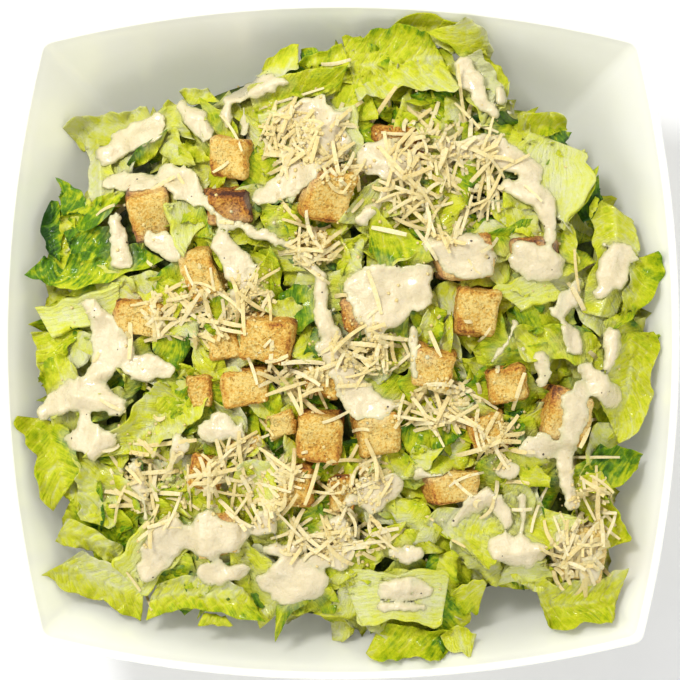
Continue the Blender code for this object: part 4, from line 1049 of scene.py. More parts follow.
# X, y, width, depth, height, turn, lean to the right, lean to the front, and rise over the bed
CROUTONS = (
    (-72, 48, 15, 19, 14, 8, 4, 16, 7),
    (-41, 67, 15, 16, 14, -5, -8, 6, 6),
    (-42, 50, 17, 13, 13, 4, 6, 8, 4),
    (-6, 54, 18, 20, 17, -10, 8, 20, 11),
    (22, 73, 21, 14, 13, -4, 0, -6, 1),
    (-9, 34, 13, 13, 12, 12, 0, 4, 2),
    (-50, 25, 14, 20, 13, 20, -8, 8, 5),
    (-75, 9, 19, 13, 12, -6, 0, 8, 4),
    (-52, -19, 10, 13, 12, 5, -6, 0, 2),
    (-44, -3, 12, 10, 11, 8, 0, -6, 1),
    (-26, 1, 20, 16, 14, -8, -4, 8, 7),
    (-35, -17, 18, 14, 13, 6, -6, 6, 5),
    (-7, -16, 13, 11, 12, -12, 6, 0, 3),
    (-22, -31, 11, 11, 11, 15, 0, 4, 4),
    (-7, -35, 17, 18, 15, -5, 4, 10, 7),
    (14, -35, 16, 16, 14, 10, 8, 6, 5),
    (35, -10, 17, 16, 14, -12, 4, 10, 6),
    (7, 11, 14, 14, 13, 14, 0, 6, 3),
    (45, 30, 22, 16, 14, 5, -4, 6, 6),
    (-35, -38, 12, 8, 10, -10, 0, 4, 2),
    (51, 10, 17, 19, 15, -6, 8, 8, 6),
    (73, 32, 19, 13, 13, 4, 0, 6, 4),
    (61, -16, 17, 15, 13, 10, 4, 8, 5),
    (83, -29, 18, 20, 15, -12, 8, 8, 6),
    (55, -34, 14, 13, 12, 16, 0, 6, 4),
    (-50, -49, 13, 13, 12, -14, -6, 6, 4),
    (-46, -71, 17, 17, 14, 8, -4, 8, 5),
    (-16, -53, 14, 17, 14, -8, -6, 6, 5),
    (0, -58, 10, 15, 13, 4, 6, 0, 3),
    (41, -55, 21, 14, 14, 6, 4, 10, 5),
    (10, -49, 7, 6, 8, 0, 0, 0, 1),
    (90, -81, 18, 21, 15, -6, 6, 6, 5),
)

CROUTON_SEED = 7
CROUTON_SOFTENING = 8
CROUTON_STEPS = 19
CROUTON_PLUMP = 1.20  # how much the soft crumb swells over the cut size
CROUTON_TAPER = 0.14  # how much narrower the upper side is, as a share
CROUTON_SKEW = 0.14  # how far the upper side may be out of line, as a share of half a side
CROUTON_CORNERS = (0.80, 1.08)  # how far single corners fall short of the size or stand out from it
CROUTON_ROUND = 0.28  # rounding of the edges, as a share of half a side
# Those toasted darker or paler than the rest, by their place in the list
CROUTON_SHADES = {2: 0.34, 4: 0.34, 17: 0.34, 21: 0.34, 13: -0.12, 19: -0.12, 31: -0.12}
CORNER_SHRINK = (0.0, 0.07)  # how far a corner is drawn in, as a share of a side
CORNER_CUT = (0.07, 0.12)
EDGE_CROWDING = 0.85  # under 1, moves the points towards the edges
COVER_STEPS = np.linspace(-0.48, 0.48, 13)  # places over a crouton of unit size
COVER_FROM = 0.47
CRUMB_LUMPS = ((1.0, 7.5, 0), (0.5, 3.2, 2), (0.3, 1.6, 3))  # height and size in millimetres, and seed
PIT_SIZES = (1.9, 2.6)
PIT_EDGE = 0.14
PIT_DEPTH = 0.6
PIT_PATCHES = (0.6, 6.0, 6)  # mean depth as a share, size in millimetres and seed
BROWN_FROM = 0.55  # share of the way from a side's middle to its edge from which it is browner
BROWN_WIDTH = 0.4
# The amounts below carry painted shade as well as toast: the pits' share is painted shade in the hollows, and
# the sides' share is partly toast and partly painted shade below the top.
TOAST = 0.07  # how far the palest crumb is toasted, from 0 to 1, as are the five after it
TOAST_EDGE = 0.55
TOAST_PATCHES = 0.26
PIT_SHADE = 0.10
SIDE_TOAST_AND_SHADE = 0.22
TOAST_SPECKS = 0.12


def crouton_place(index):
    """Matrix that lays a crouton of unit size on the heap."""
    x, y, width, depth, height, turn, right, front, rise = CROUTONS[index]
    bed = softened(rest_on.values, CROUTON_SOFTENING)
    top = float(rest_on.sample(np.array(x * MM), np.array(y * MM), bed)) + rise * MM
    middle = Vector((x * MM, y * MM, top - height * MM / 2))
    lean = Matrix.Rotation(math.radians(right), 4, "Y") @ Matrix.Rotation(math.radians(front), 4, "X")
    size = Matrix.Diagonal((width * MM, depth * MM, height * MM, 1))
    return Matrix.Translation(middle) @ lean @ Matrix.Rotation(math.radians(turn), 4, "Z") @ size


def cover_crouton(place):
    """Lifts what later pieces are laid on over a crouton."""
    u, v, w = np.meshgrid(COVER_STEPS, COVER_STEPS, COVER_STEPS)
    shell = np.maximum.reduce([np.abs(u), np.abs(v), np.abs(w)]) > COVER_FROM
    points = np.stack([u[shell], v[shell], w[shell], np.ones(shell.sum())])
    rest_on.lift(*(np.array(place) @ points)[:3])


def cube_skin(steps):
    """Points from -1 to 1 and faces of a cube's skin split evenly, with each shared point made once."""
    numbers, points, faces = {}, [], []

    def number(spot):
        """The number of a point, which is made the first time it is asked for."""
        if spot not in numbers:
            numbers[spot] = len(points)
            points.append([2 * value / steps - 1 for value in spot])
        return numbers[spot]

    for axis in range(3):
        for end in (0, steps):
            for first in range(steps):
                for second in range(steps):
                    square = []
                    for right, up in ((0, 0), (1, 0), (1, 1), (0, 1)):
                        spot = [0, 0, 0]
                        spot[axis] = end
                        spot[(axis + 1) % 3] = first + right
                        spot[(axis + 2) % 3] = second + up
                        square.append(number(tuple(spot)))
                    faces.append(square if end else square[::-1])
    return np.array(points), faces


def crouton_corner_sizes(index):
    """How far each corner of the cube reaches along each side, as cut."""
    draw = random.Random(CROUTON_SEED + index)
    sizes = {}
    for signs in ((x, y, z) for x in (-1, 1) for y in (-1, 1) for z in (-1, 1)):
        sizes[signs] = np.array([0.5 - draw.uniform(*CORNER_SHRINK) for _ in range(3)])
        draw.uniform(*CORNER_CUT)  # keeps the draws in step with those of the cut solid
    return sizes


def noise_3d(points, size, seed):
    """Smooth noise from -1 to 1 in space, from three flat noises."""
    x, y, z = points.T
    total = soft_noise(x + 0.7 * z, y - 0.4 * z, size, seed)
    total = total + soft_noise(y + 0.6 * x, z + 0.3 * x, size, seed + 1)
    return (total + soft_noise(z - 0.5 * y, x + 0.8 * y, size, seed + 2)) / 2


def build_crouton(index, skin, faces):
    """A porous cube with its edges worn round, in the place and with the corners of its solid."""
    place = crouton_place(index)
    width, depth, height = CROUTONS[index][2:5]
    eased = np.sign(skin) * np.abs(skin) ** EDGE_CROWDING
    core = np.clip(eased, CROUTON_ROUND - 1, 1 - CROUTON_ROUND)
    away = eased - core
    away = away / np.linalg.norm(away, axis=1, keepdims=True)
    rounded = core + away * CROUTON_ROUND
    scale = np.zeros_like(rounded)
    draw = random.Random(CROUTON_SEED + 50 + index)
    for signs, sizes in crouton_corner_sizes(index).items():
        weight = np.prod((1 + eased * np.array(signs)) / 2, axis=1)
        scale += weight[:, None] * sizes * draw.uniform(*CROUTON_CORNERS)
    rising = (1 + rounded[:, 2:3]) / 2
    shear = np.array([draw.uniform(-CROUTON_SKEW, CROUTON_SKEW) for _ in range(2)])
    rounded[:, :2] = rounded[:, :2] * (1 - CROUTON_TAPER * rising) + shear * rising
    real = rounded * scale * (width, depth, height) * CROUTON_PLUMP
    seed = 200 + index * 11
    x, y, z = real.T
    pits = cell_gap(x + 0.7 * z, y + 0.6 * z, PIT_SIZES[0], seed)
    pits = np.minimum(pits, cell_gap(x - y, z + 0.4 * y, PIT_SIZES[1], seed + 5))
    mean, patch, more = PIT_PATCHES
    pitted = np.exp(-pits / PIT_EDGE) * np.clip(mean + noise_3d(real, patch, seed + more), 0, 2 * mean)
    lumps = sum(high * noise_3d(real, size, seed + more) for high, size, more in CRUMB_LUMPS)
    real = real + away * (lumps - PIT_DEPTH * pitted)[:, None]
    nearness = np.sort(np.abs(eased), axis=1)[:, 1]
    edge = np.clip((nearness - BROWN_FROM) / BROWN_WIDTH, 0, 1)
    patches = np.clip(noise_3d(real, 7.0, seed + 8), -0.2, 1)
    toast_and_shade = TOAST + CROUTON_SHADES.get(index, 0) + TOAST_EDGE * edge**2 * (0.35 + patches)
    # Painted shade: the pits are darker, and everything below the top is darker than the top, partly as toast
    # and partly as shade.
    toast_and_shade = toast_and_shade + TOAST_PATCHES * patches + PIT_SHADE * pitted + SIDE_TOAST_AND_SHADE * (skin[:, 2] < 0.6)
    toast_and_shade = toast_and_shade + TOAST_SPECKS * noise_3d(real, 1.3, seed + 9)
    unit = real / (width, depth, height)
    world = (np.array(place) @ np.concatenate([unit, np.ones((len(unit), 1))], 1).T).T[:, :3]
    seen_top.lift(*world.T)
    cover_crouton(place)
    piece = piece_of(f"toasted_crouton_{index + 1:02d}", world, faces)
    mark_points(piece, "toast_and_shade", toast_and_shade)
    return piece


TOAST_COLORS = [
    (0.0, hue("E4C874")),
    (0.24, hue("D8AA44")),
    (0.48, hue("C28326")),
    (0.72, hue("935412")),
    (1.0, hue("4A2106")),
]


PORES = ((520.0, 0.42), (1100.0, 0.40))  # pores for each metre, and their reach as a share of the spacing
DRESSED_BREAD = hue("DACBA4")


def crouton_material():
    """Toasted crumb: browned by the points' values, which carry toast and painted shade, with pores darkened
    as painted shade, specks, and rough.
    """
    material, tree, shader = material_of(
        "toasted_bread_finish",
        Subsurface_Weight=0.1, Subsurface_Scale=0.001, Subsurface_Radius=(1.0, 0.6, 0.3),
    )
    place = tree.nodes.new("ShaderNodeTexCoord")
    pores = []
    for pores_per_metre, reach in PORES:
        cells = add_node(tree, "ShaderNodeTexVoronoi", Scale=pores_per_metre)
        tree.links.new(place.outputs["Object"], cells.inputs["Vector"])
        pore = add_node(tree, "ShaderNodeMapRange", From_Min=0.12, From_Max=reach, To_Min=1.0, To_Max=0.0)
        tree.links.new(cells.outputs["Distance"], pore.inputs["Value"])
        pores.append(pore.outputs["Result"])
    pitted = math_node("MULTIPLY", math_node("MAXIMUM", *pores), grain(tree, 300, 0.35, 0.6))
    specks = math_node("MULTIPLY", math_node("SUBTRACT", grain(tree, 1100, 0.35, 0.65), 0.5), 0.40)
    # Painted shade: the pores are browned for the shade that lies in them.
    toast_and_shade = math_node("ADD", attribute(tree, "toast_and_shade"), math_node("MULTIPLY", pitted, 0.15))
    browned = ramp_node(tree, math_node("ADD", toast_and_shade, specks), TOAST_COLORS)
    film = math_node("MULTIPLY", attribute(tree, "film"), 0.35)
    tree.links.new(mix_colors(film, browned, DRESSED_BREAD), shader.inputs["Base Color"])
    roughness(tree, shader, grain(tree, 700), 0.62, 0.85)
    crumb = math_node("MULTIPLY", grain(tree, 1300, 0.2, 0.8), 0.6)
    relief(tree, shader, math_node("SUBTRACT", crumb, pitted), 0.0006)
    return material


bread_finish = crouton_material()
cube_points, cube_faces = cube_skin(CROUTON_STEPS)
for crouton_index in range(len(CROUTONS)):
    crouton = build_crouton(crouton_index, cube_points, cube_faces)
    crouton.data.materials.append(bread_finish)
    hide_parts(f"crouton_{crouton_index + 1:02d}")
    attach(crouton, "root")


# The romaine over the croutons
# The few pieces of the same chopped romaine that were tossed on top: pale ribs, thin blades and a
# frilled edge that lie over croutons and other leaves, wet with dressing like the rest.

lay_leaves(1)


# The dressing
# Thick creamy dressing with cracked pepper, spooned over in runs and blobs: it bridges small gaps,
# flows down the sides of what it lies on and ends in a rounded edge.

# Runs of points with the width of the run at each: those that stand thick, then the thinner ones
DRESSING = (
    ((-88, 70, 8), (-80, 76, 13), (-70, 81, 10)),
    ((-59, 87, 7), (-54, 83, 10), (-50, 78, 6)),
    ((-64, 62, 7), (-58, 59, 12), (-53, 53, 6)),
    ((-41, 90, 4), (-35, 94, 8), (-27, 96, 9), (-21, 96, 4)),
    ((-19, 83, 11), (-10, 81, 19), (-6, 72, 20), (-11, 65, 13), (-20, 57, 12), (-29, 53, 7)),
    ((12, 67, 12), (19, 66, 17), (25, 64, 12)),
    ((37, 72, 5), (44, 71, 8), (52, 71, 10), (59, 70, 9), (66, 67, 9), (72, 62, 7)),
    ((64, 57, 6), (70, 55, 10), (76, 51, 8), (78, 44, 6), (78, 38, 5)),
    ((-93, 12, 5), (-87, 6, 11), (-84, -4, 13), (-89, -12, 9)),
    ((-110, -26, 6), (-100, -21, 13), (-89, -21, 11), (-81, -24, 6)),
    ((-99, -38, 7), (-92, -38, 12), (-86, -38, 7)),
    ((-49, -33, 6), (-44, -33, 10), (-38, -34, 6)),
    ((-44, 36, 7), (-38, 29, 11), (-35, 19, 10), (-37, 12, 6)),
    ((-18, 35, 5), (-7, 24, 5), (-7, 11, 7), (-3, 0, 11), (2, -14, 11), (8, -21, 10), (17, -26, 5)),
    ((8, 20, 13), (17, 16, 24), (25, 18, 17), (31, 24, 7)),
    ((64, 29, 5), (70, 27, 9), (78, 27, 9), (82, 30, 5)),
    ((98, 18, 7), (102, 24, 13), (106, 31, 10)),
    ((92, -11, 6), (96, -16, 11), (101, -22, 7)),
    ((90, -18, 5), (87, -24, 9), (86, -33, 10), (84, -41, 5)),
    ((-72, -87, 7), (-67, -78, 14), (-62, -70, 8)),
    ((-58, -73, 8), (-49, -73, 16), (-39, -73, 10)),
    ((-50, -87, 7), (-44, -87, 10), (-38, -86, 6)),
    ((-29, -91, 7), (-20, -89, 17), (-12, -90, 15), (-8, -88, 7)),
    ((-7, -81, 11), (-2, -78, 16), (0, -70, 9)),
    ((18, -94, 6), (24, -93, 10), (33, -94, 6)),
    ((4, -60, 5), (12, -58, 15), (19, -54, 10)),
    ((-30, -70, 6), (-27, -68, 10), (-24, -63, 5)),
    ((60, -78, 10), (67, -78, 13), (74, -78, 7)),
    ((37, 34, 9), (45, 31, 17), (53, 28, 11)),
    ((83, -75, 8), (90, -81, 14), (95, -88, 8)),
    # Thinner
    ((-87, 60, 6), (-78, 60, 8), (-70, 59, 4)),
    ((-84, 44, 6), (-82, 37, 8), (-81, 30, 5)),
    ((19, 57, 5), (14, 51, 4), (8, 44, 3)),
    ((-78, -10, 7), (-71, -10, 8), (-64, -10, 5)),
    ((-70, 37, 5), (-65, 36, 9), (-62, 31, 5)),
    ((6, -25, 5), (14, -25, 9), (21, -24, 5)),
    ((80, 10, 5), (85, 4, 8), (88, -3, 6)),
    ((101, 1, 6), (101, -4, 7), (100, -10, 5)),
    ((71, -40, 6), (76, -40, 9), (81, -39, 5)),
    ((-75, -47, 4), (-73, -56, 5), (-72, -66, 4)),
    ((-26, -78, 5), (-20, -78, 7), (-15, -77, 4)),
    ((43, -67, 3), (47, -61, 5), (53, -58, 6), (58, -59, 5), (63, -67, 4)),
    ((-53, 53, 6), (-46, 47, 3), (-39, 41, 3)),
    ((-42, 90, 3), (-42, 80, 2.5)),
    ((-36, 87, 2), (-36, 77, 2)),
    ((26, 59, 4.5), (30, 52, 3.5), (33, 45, 3)),
    ((-3, 84, 5), (3, 84, 5)),
    ((59, 93, 4.5), (60, 90, 4)),
    ((56, 86, 4), (57, 84, 3.5)),
    ((-95, -27, 4.5), (-95, -33, 3)),
    ((-44, 44, 3.5), (-30, 39, 4), (-18, 35, 4.5)),
    ((27, 4, 4), (27, -13, 3)),
    ((13, 7, 11), (12, 2, 6)),
    ((83, 9, 4.5), (86, 16, 7), (89, 22, 4)),
    ((65, 6, 2.5), (62, -1, 3), (56, -8, 2)),
    ((74, -6, 4), (74, -14, 4)),
    ((-61, -34, 4.5), (-60, -39, 6), (-61, -44, 4)),
    ((16, -100, 4), (23, -100, 5), (31, -100, 3)),
    ((30, -50, 3), (41, -50, 3)),
    ((21, -80, 5), (25, -80, 7), (29, -79, 4.5)),
    ((68, -59, 3), (68, -67, 3), (67, -75, 5)),
    ((83, -37, 4), (84, -52, 4.5), (87, -61, 4.5)),
    ((58, -48, 4.5), (61, -48, 6), (64, -48, 4)),
    ((5, 14, 8), (9, 10, 9), (13, 12, 6)),
    ((47, 103, 5), (50, 96, 9), (53, 88, 6)),
    ((68, 33, 7), (76, 31, 9), (81, 30, 6)),
    ((-48, -69, 8), (-43, -73, 9), (-38, -78, 5)),
)

DRESSING_CELL = 0.0007
DRESSING_MERGE = 1.2  # how softly runs flow together, in millimetres
DRESSING_RISE = 0.0013
DRESSING_BULGE = 0.00014  # more rise for each millimetre in from the edge
DRESSING_EDGE = 2.6  # width of the rounded edge in millimetres
DRESSING_FILM = 1.8  # how far in from its edge the dressing is thin enough to let what is under it through
DRESSING_UNEVEN = ((1.7, 7.0, 71, True), (1.4, 3.4, 72, True), (0.5, 1.5, 73, False))
DRESSING_WAVES = (0.4, 7.0, 75)  # share of the rise, size in millimetres and seed
DRESSING_LUMPS = (0.0004, 3.0, 76)  # height in metres, size in millimetres and seed
DRESSING_BRIDGE = 7  # cells that it spans from one high place to the next
DRESSING_SETTLE = 3  # turns of softening of what it lies on
DRESSING_DEEPEST = 8  # millimetres in from the edge at which it stops rising
DRESSING_SINK = 0.0006
DRESSING_CLEAR = (0.0002, 0.0004)  # its underside and top over the bowl's wall
DRESSING_DROPS = 24
DROP_AWAY = (3, 9)  # millimetres, as is the size after it
DROP_SIZE = (0.5, 1.0)
DRESSING_SEED = 61
FAR = 99.0  # millimetres, farther than any place is from the dressing


def run_distance(x, y, run):
    """Distance to a run's edge in millimetres, negative inside it."""
    nearest = np.full(x.shape, FAR)
    for (ax, ay, aw), (bx, by, bw) in zip(run, run[1:]):
        length = max((bx - ax) ** 2 + (by - ay) ** 2, 0.01)
        share = np.clip(((x - ax) * (bx - ax) + (y - ay) * (by - ay)) / length, 0, 1)
        away = np.hypot(x - ax - share * (bx - ax), y - ay - share * (by - ay))
        nearest = np.minimum(nearest, away - (aw + (bw - aw) * share) / 2)
    return nearest


def joined(first, second, softness):
    """The nearer of two distances, flowing together where they are close."""
    share = np.clip(0.5 + 0.5 * (second - first) / softness, 0, 1)
    return second + (first - second) * share - softness * share * (1 - share)


def dressing_spread(x, y):
    """Distance to the edge of all the dressing in millimetres, negative under it."""
    spread = np.full(x.shape, FAR)
    for run in DRESSING:
        spread = joined(spread, run_distance(x, y, run), DRESSING_MERGE)
    for reach, size, seed, angular in DRESSING_UNEVEN:
        spread = spread + reach * soft_noise(x, y, size, seed, angular)
    draw = random.Random(DRESSING_SEED)
    for _ in range(DRESSING_DROPS):
        run = DRESSING[draw.randrange(len(DRESSING))]
        spot = run[draw.randrange(len(run))]
        turn, out, size = draw.uniform(0, math.tau), draw.uniform(*DROP_AWAY), draw.uniform(*DROP_SIZE)
        drop = np.hypot(x - spot[0] - out * math.cos(turn), y - spot[1] - out * math.sin(turn)) - size
        spread = np.minimum(spread, drop)
    return spread


def closed_over(heights, turns):
    """The grid with its narrow gaps bridged."""
    for step in (np.maximum, np.minimum):
        for _ in range(turns):
            wide = np.pad(heights, 1, mode="edge")
            rows = step(step(wide[:-2], wide[1:-1]), wide[2:])
            heights = step(step(rows[:, :-2], rows[:, 1:-1]), rows[:, 2:])
    return heights


def build_dressing():
    """All the dressing as one closed sheet with rounded edges, laid over what shows."""
    axis = np.arange(-SPAN, SPAN, DRESSING_CELL) / MM
    x, y = np.meshgrid(axis, axis)
    spread = dressing_spread(x, y)
    base = softened(closed_over(seen_top.values, DRESSING_BRIDGE), DRESSING_SETTLE)
    step_y, step_x = np.gradient(spread, DRESSING_CELL / MM)
    slope = np.maximum(np.hypot(step_x, step_y), 0.6)
    inside = spread <= 0
    shift = np.where(inside, 0, spread / slope**2)  # draws the outermost points in to the edge
    real_x, real_y = (x - shift * step_x) * MM, (y - shift * step_y) * MM
    depth = np.maximum(-spread, 0)
    inward = np.minimum(depth / DRESSING_EDGE, 1)
    rise = DRESSING_RISE * np.sqrt(1 - (1 - inward) ** 2)
    rise = rise + DRESSING_BULGE * np.minimum(depth, DRESSING_DEEPEST)
    rise = rise * (1 + DRESSING_WAVES[0] * soft_noise(x, y, *DRESSING_WAVES[1:]))
    rise = rise + DRESSING_LUMPS[0] * soft_noise(x, y, *DRESSING_LUMPS[1:]) * inward
    ground = seen_top.sample(real_x, real_y, base)
    wall = wall_height(real_x, real_y)
    top = np.maximum(ground + rise, wall + DRESSING_CLEAR[1])
    low = np.maximum(ground - DRESSING_SINK, wall + DRESSING_CLEAR[0])
    used = inside[:-1, :-1] | inside[1:, :-1] | inside[1:, 1:] | inside[:-1, 1:]
    upper = np.arange(x.size).reshape(x.shape)
    lower = np.where(inside, upper + x.size, upper)
    sheets = []
    for number in (upper, lower):
        corners = (number[:-1, :-1], number[:-1, 1:], number[1:, 1:], number[1:, :-1])
        sheets.append(np.stack([corner[used] for corner in corners], -1))
    faces = np.concatenate([sheets[0], sheets[1][:, ::-1]])
    heights = (np.where(inside, top, ground), low)
    points = np.concatenate([np.stack([real_x, real_y, height], -1).reshape(-1, 3) for height in heights])
    kept, numbers = np.unique(faces, return_inverse=True)
    seen_top.lift(real_x[inside], real_y[inside], top[inside])
    piece = piece_of("creamy_dressing", points[kept], numbers.reshape(faces.shape).tolist())
    thick = np.clip(depth / DRESSING_FILM, 0, 1).reshape(-1)
    mark_points(piece, "thick", np.concatenate([thick, thick])[kept])
    return piece


CREAM_COLORS = [(0, hue("D6C79E")), (1, hue("E4D6B2"))]
THIN_CREAM = hue("D0CA9C")
PEPPER = hue("4A3A26")


def dressing_material():
    """Cream, greener where it is thin, with flecks of pepper in a few of many scattered places."""
    material, tree, shader = material_of(
        "creamy_dressing_finish", Coat_Weight=0.4, Coat_Roughness=0.12, Subsurface_Weight=0.3,
        Subsurface_Scale=0.002, Subsurface_Radius=(1.0, 0.85, 0.6),
    )
    place = tree.nodes.new("ShaderNodeTexCoord")
    flecks = add_node(tree, "ShaderNodeTexVoronoi", Scale=330.0)
    tree.links.new(place.outputs["Object"], flecks.inputs["Vector"])
    chance = add_node(tree, "ShaderNodeSeparateColor")
    tree.links.new(flecks.outputs["Color"], chance.inputs["Color"])
    chosen = math_node("GREATER_THAN", chance.outputs["Red"], 0.80)
    size = math_node("MULTIPLY", chance.outputs["Green"], 0.17)
    pepper = math_node("MULTIPLY", chosen, math_node("LESS_THAN", flecks.outputs["Distance"], size))
    cream = mix_colors(attribute(tree, "thick"), THIN_CREAM, ramp_node(tree, grain(tree, 160), CREAM_COLORS))
    tree.links.new(mix_colors(pepper, cream, PEPPER), shader.inputs["Base Color"])
    roughness(tree, shader, grain(tree, 300), 0.22, 0.4)
    relief(tree, shader, grain(tree, 330, 0.2, 0.8), 0.0006)
    return material


FILM_REACH = 3.5  # how far from a run the leaves and croutons are wet with it, in millimetres
FILM_PATCHES = 4.0


def wet_with_dressing(piece):
    """Marks how far each point of a piece is covered by the thin film round the dressing."""
    places = np.empty(len(piece.data.vertices) * 3)
    piece.data.vertices.foreach_get("co", places)
    x, y = places.reshape(-1, 3)[:, 0] / MM, places.reshape(-1, 3)[:, 1] / MM
    film = np.clip(1 - dressing_spread(x, y) / FILM_REACH, 0, 1)
    film = film * np.clip(0.55 + soft_noise(x, y, FILM_PATCHES, 83), 0, 1)
    mark_points(piece, "film", film)


for wet in bpy.data.objects:
    if wet.name.startswith(("romaine_", "toasted_")):
        wet_with_dressing(wet)

dressing = build_dressing()
dressing.data.materials.append(dressing_material())
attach(dressing, "root")


# The cheese
# Hard cheese grated into long flat-sided shreds with a slight bend, strewn over everything and lying
# thick in places, with small crumbs between.

# X, y and half-sizes of the places where the shreds lie, and how many lie there
SHRED_PATCHES = (
    (38, 63, 21, 26, 243),
    (-18, 75, 11, 10, 74),
    (0, 63, 8, 8, 24),
    (-55, 10, 16, 11, 114),
    (-9, 35, 9, 8, 33),
    (-15, -15, 10, 8, 45),
    (37, -24, 15, 9, 86),
    (-33, -52, 18, 15, 134),
    (-1, -73, 19, 8, 74),
    (-71, -54, 14, 16, 60),
    (96, -63, 10, 10, 36),
    (89, -81, 10, 12, 52),
    (5, -53, 16, 10, 40),
    (59, -37, 8, 8, 24),
    (7, -4, 9, 8, 28),
    (-33, 15, 8, 8, 16),
    (15, -4, 10, 6, 21),
    (0, 0, 100, 95, 122),
)
# Single long shreds by their two ends
LONG_SHREDS = (
    ((-33, 86), (-6, 94)),
    ((-7, 103), (4, 105)),
    ((44, 103), (48, 77)),
    ((85, -44), (105, -44)),
    ((61, -53), (70, -53)),
    ((-80, -87), (-71, -102)),
    ((76, -67), (82, -78)),
    ((37, -44), (59, -37)),
)
SHRED_SEED = 11
SHRED_WIDTH = (0.0010, 0.0018)
SHRED_LENGTH = (7, 18)
SHORT_SHARE = 0.5
SHORTER = (0.25, 0.6)  # what is left of a broken shred
SHRED_BEND = 0.6  # millimetres
SHRED_TWIST = 0.8
SHRED_STIFF = 0.8
SHRED_SINK = 0.0006
SHRED_HOVER = (0.001, 0.003)  # mean height over its supports from which a shred bends, and how much more
SHRED_SAG = 0.4  # how far a bent shred sinks into the hollows, as a share
SHRED_FLATNESS = 0.8
SHRED_POINT = 0.55  # width left at a shred's ends, as a share
SHRED_STATIONS = 7
SHRED_SIDES = ((-1, -0.5), (-1, 0.35), (-0.1, 0.5), (0.95, 0.4), (1, -0.45), (0.1, -0.6))


def strung_over(profile):
    """The line that a stiff strand takes over bumps: it spans the hollows between the high places."""
    count = len(profile)
    held = profile.copy()
    for first in range(count):
        for last in range(first + 2, count):
            span = np.linspace(profile[first], profile[last], last - first + 1)
            held[first : last + 1] = np.maximum(held[first : last + 1], span)
    return held


def rested(steps, ground):
    """Heights of a stiff strand over the ground: nearly straight, resting on its high places."""
    slope = (ground[len(ground) // 2 :].mean() - ground[: len(ground) // 2 + 1].mean()) * 2
    straight = slope * (steps - 0.5)
    straight = straight + (ground - straight).max() - SHRED_SINK
    spanned = strung_over(ground)
    hover = np.clip(((straight - spanned).mean() - SHRED_HOVER[0]) / SHRED_HOVER[1], 0, 1)
    stiff = SHRED_STIFF * (1 - hover)
    return stiff * straight + (1 - stiff) * ((1 - SHRED_SAG) * spanned + SHRED_SAG * ground)


def build_shred(start, end, width, bend, twist):
    """Points, faces and values of a shred laid on the heap."""
    steps = np.linspace(0, 1, SHRED_STATIONS)
    ahead = np.array(end, float) - start
    length = np.linalg.norm(ahead)
    heading = ahead / length
    sideways = np.array((-heading[1], heading[0]))
    line = np.array(start) + steps[:, None] * ahead + (4 * steps * (1 - steps) * bend)[:, None] * sideways
    x, y = inside_rim(line[:, 0] * MM, line[:, 1] * MM)
    ground = seen_top.sample(x, y)
    height = rested(steps, ground) + width * 0.3
    height = np.maximum(height, wall_height(x, y) + width)
    seen_top.lift(x, y, height + width * 0.3)
    rings = []
    for place, step in enumerate(steps):
        middle = math.sin(math.pi * min(max(step, 0.06), 0.94)) ** 0.4
        thin = width / 2 * (SHRED_POINT + (1 - SHRED_POINT) * middle)
        turn = twist * (step - 0.5)
        ring = []
        for out, up in SHRED_SIDES:
            up = up * SHRED_FLATNESS
            across = (out * math.cos(turn) - up * math.sin(turn)) * thin
            rise = (out * math.sin(turn) + up * math.cos(turn)) * thin
            out_x, out_y = sideways * across
            ring.append((x[place] + out_x, y[place] + out_y, height[place] + rise))
        rings.append(ring)
    faces = [face[::-1] for face in closed_faces(SHRED_STATIONS, len(SHRED_SIDES))]
    return np.array(rings).reshape(-1, 3), faces


def build_cheese():
    """All the shreds, strewn in a mixed order so that those of one patch lie over another's."""
    draw = random.Random(SHRED_SEED)
    points, faces, tones, first = [], [], [], 0
    shreds = list(LONG_SHREDS)
    for centre_x, centre_y, half_x, half_y, number in SHRED_PATCHES:
        for _ in range(number):
            while True:
                out_x, out_y = draw.uniform(-1, 1), draw.uniform(-1, 1)
                if math.hypot(out_x, out_y) < 1:
                    break
            x, y = centre_x + half_x * out_x, centre_y + half_y * out_y
            turn, half = draw.uniform(0, math.pi), draw.uniform(*SHRED_LENGTH) / 2
            if draw.random() < SHORT_SHARE:
                half *= draw.uniform(*SHORTER)
            step = (half * math.cos(turn), half * math.sin(turn))
            shreds.append(((x - step[0], y - step[1]), (x + step[0], y + step[1])))
    draw.shuffle(shreds)
    for start, end in shreds:
        bend, width = draw.gauss(0, SHRED_BEND), draw.uniform(*SHRED_WIDTH)
        made, sides = build_shred(start, end, width, bend, draw.uniform(-SHRED_TWIST, SHRED_TWIST))
        points.append(made)
        faces += [tuple(corner + first for corner in face) for face in sides]
        tones.append(np.full(len(made), draw.uniform(0, 1)))
        first += len(made)
    piece = piece_of("cheese_shreds", np.concatenate(points), faces)
    piece.data.shade_flat()
    mark_points(piece, "tone", np.concatenate(tones))
    return piece


CRUMBS = 2400
CRUMB_SEED = 17
CRUMB_SIZE = (0.0003, 0.0009)
CRUMB_SPREAD = 0.6  # share of a patch's half-size
CRUMB_REACH = 0.86  # share of the bowl that they keep within
CRUMB_SIDES = 5
CRUMB_RINGS = ((0.45, 0.8), (-0.3, 1.0))  # height and width of a crumb's two rings, as shares of its size
CRUMB_UNEVEN = (0.7, 1.2)


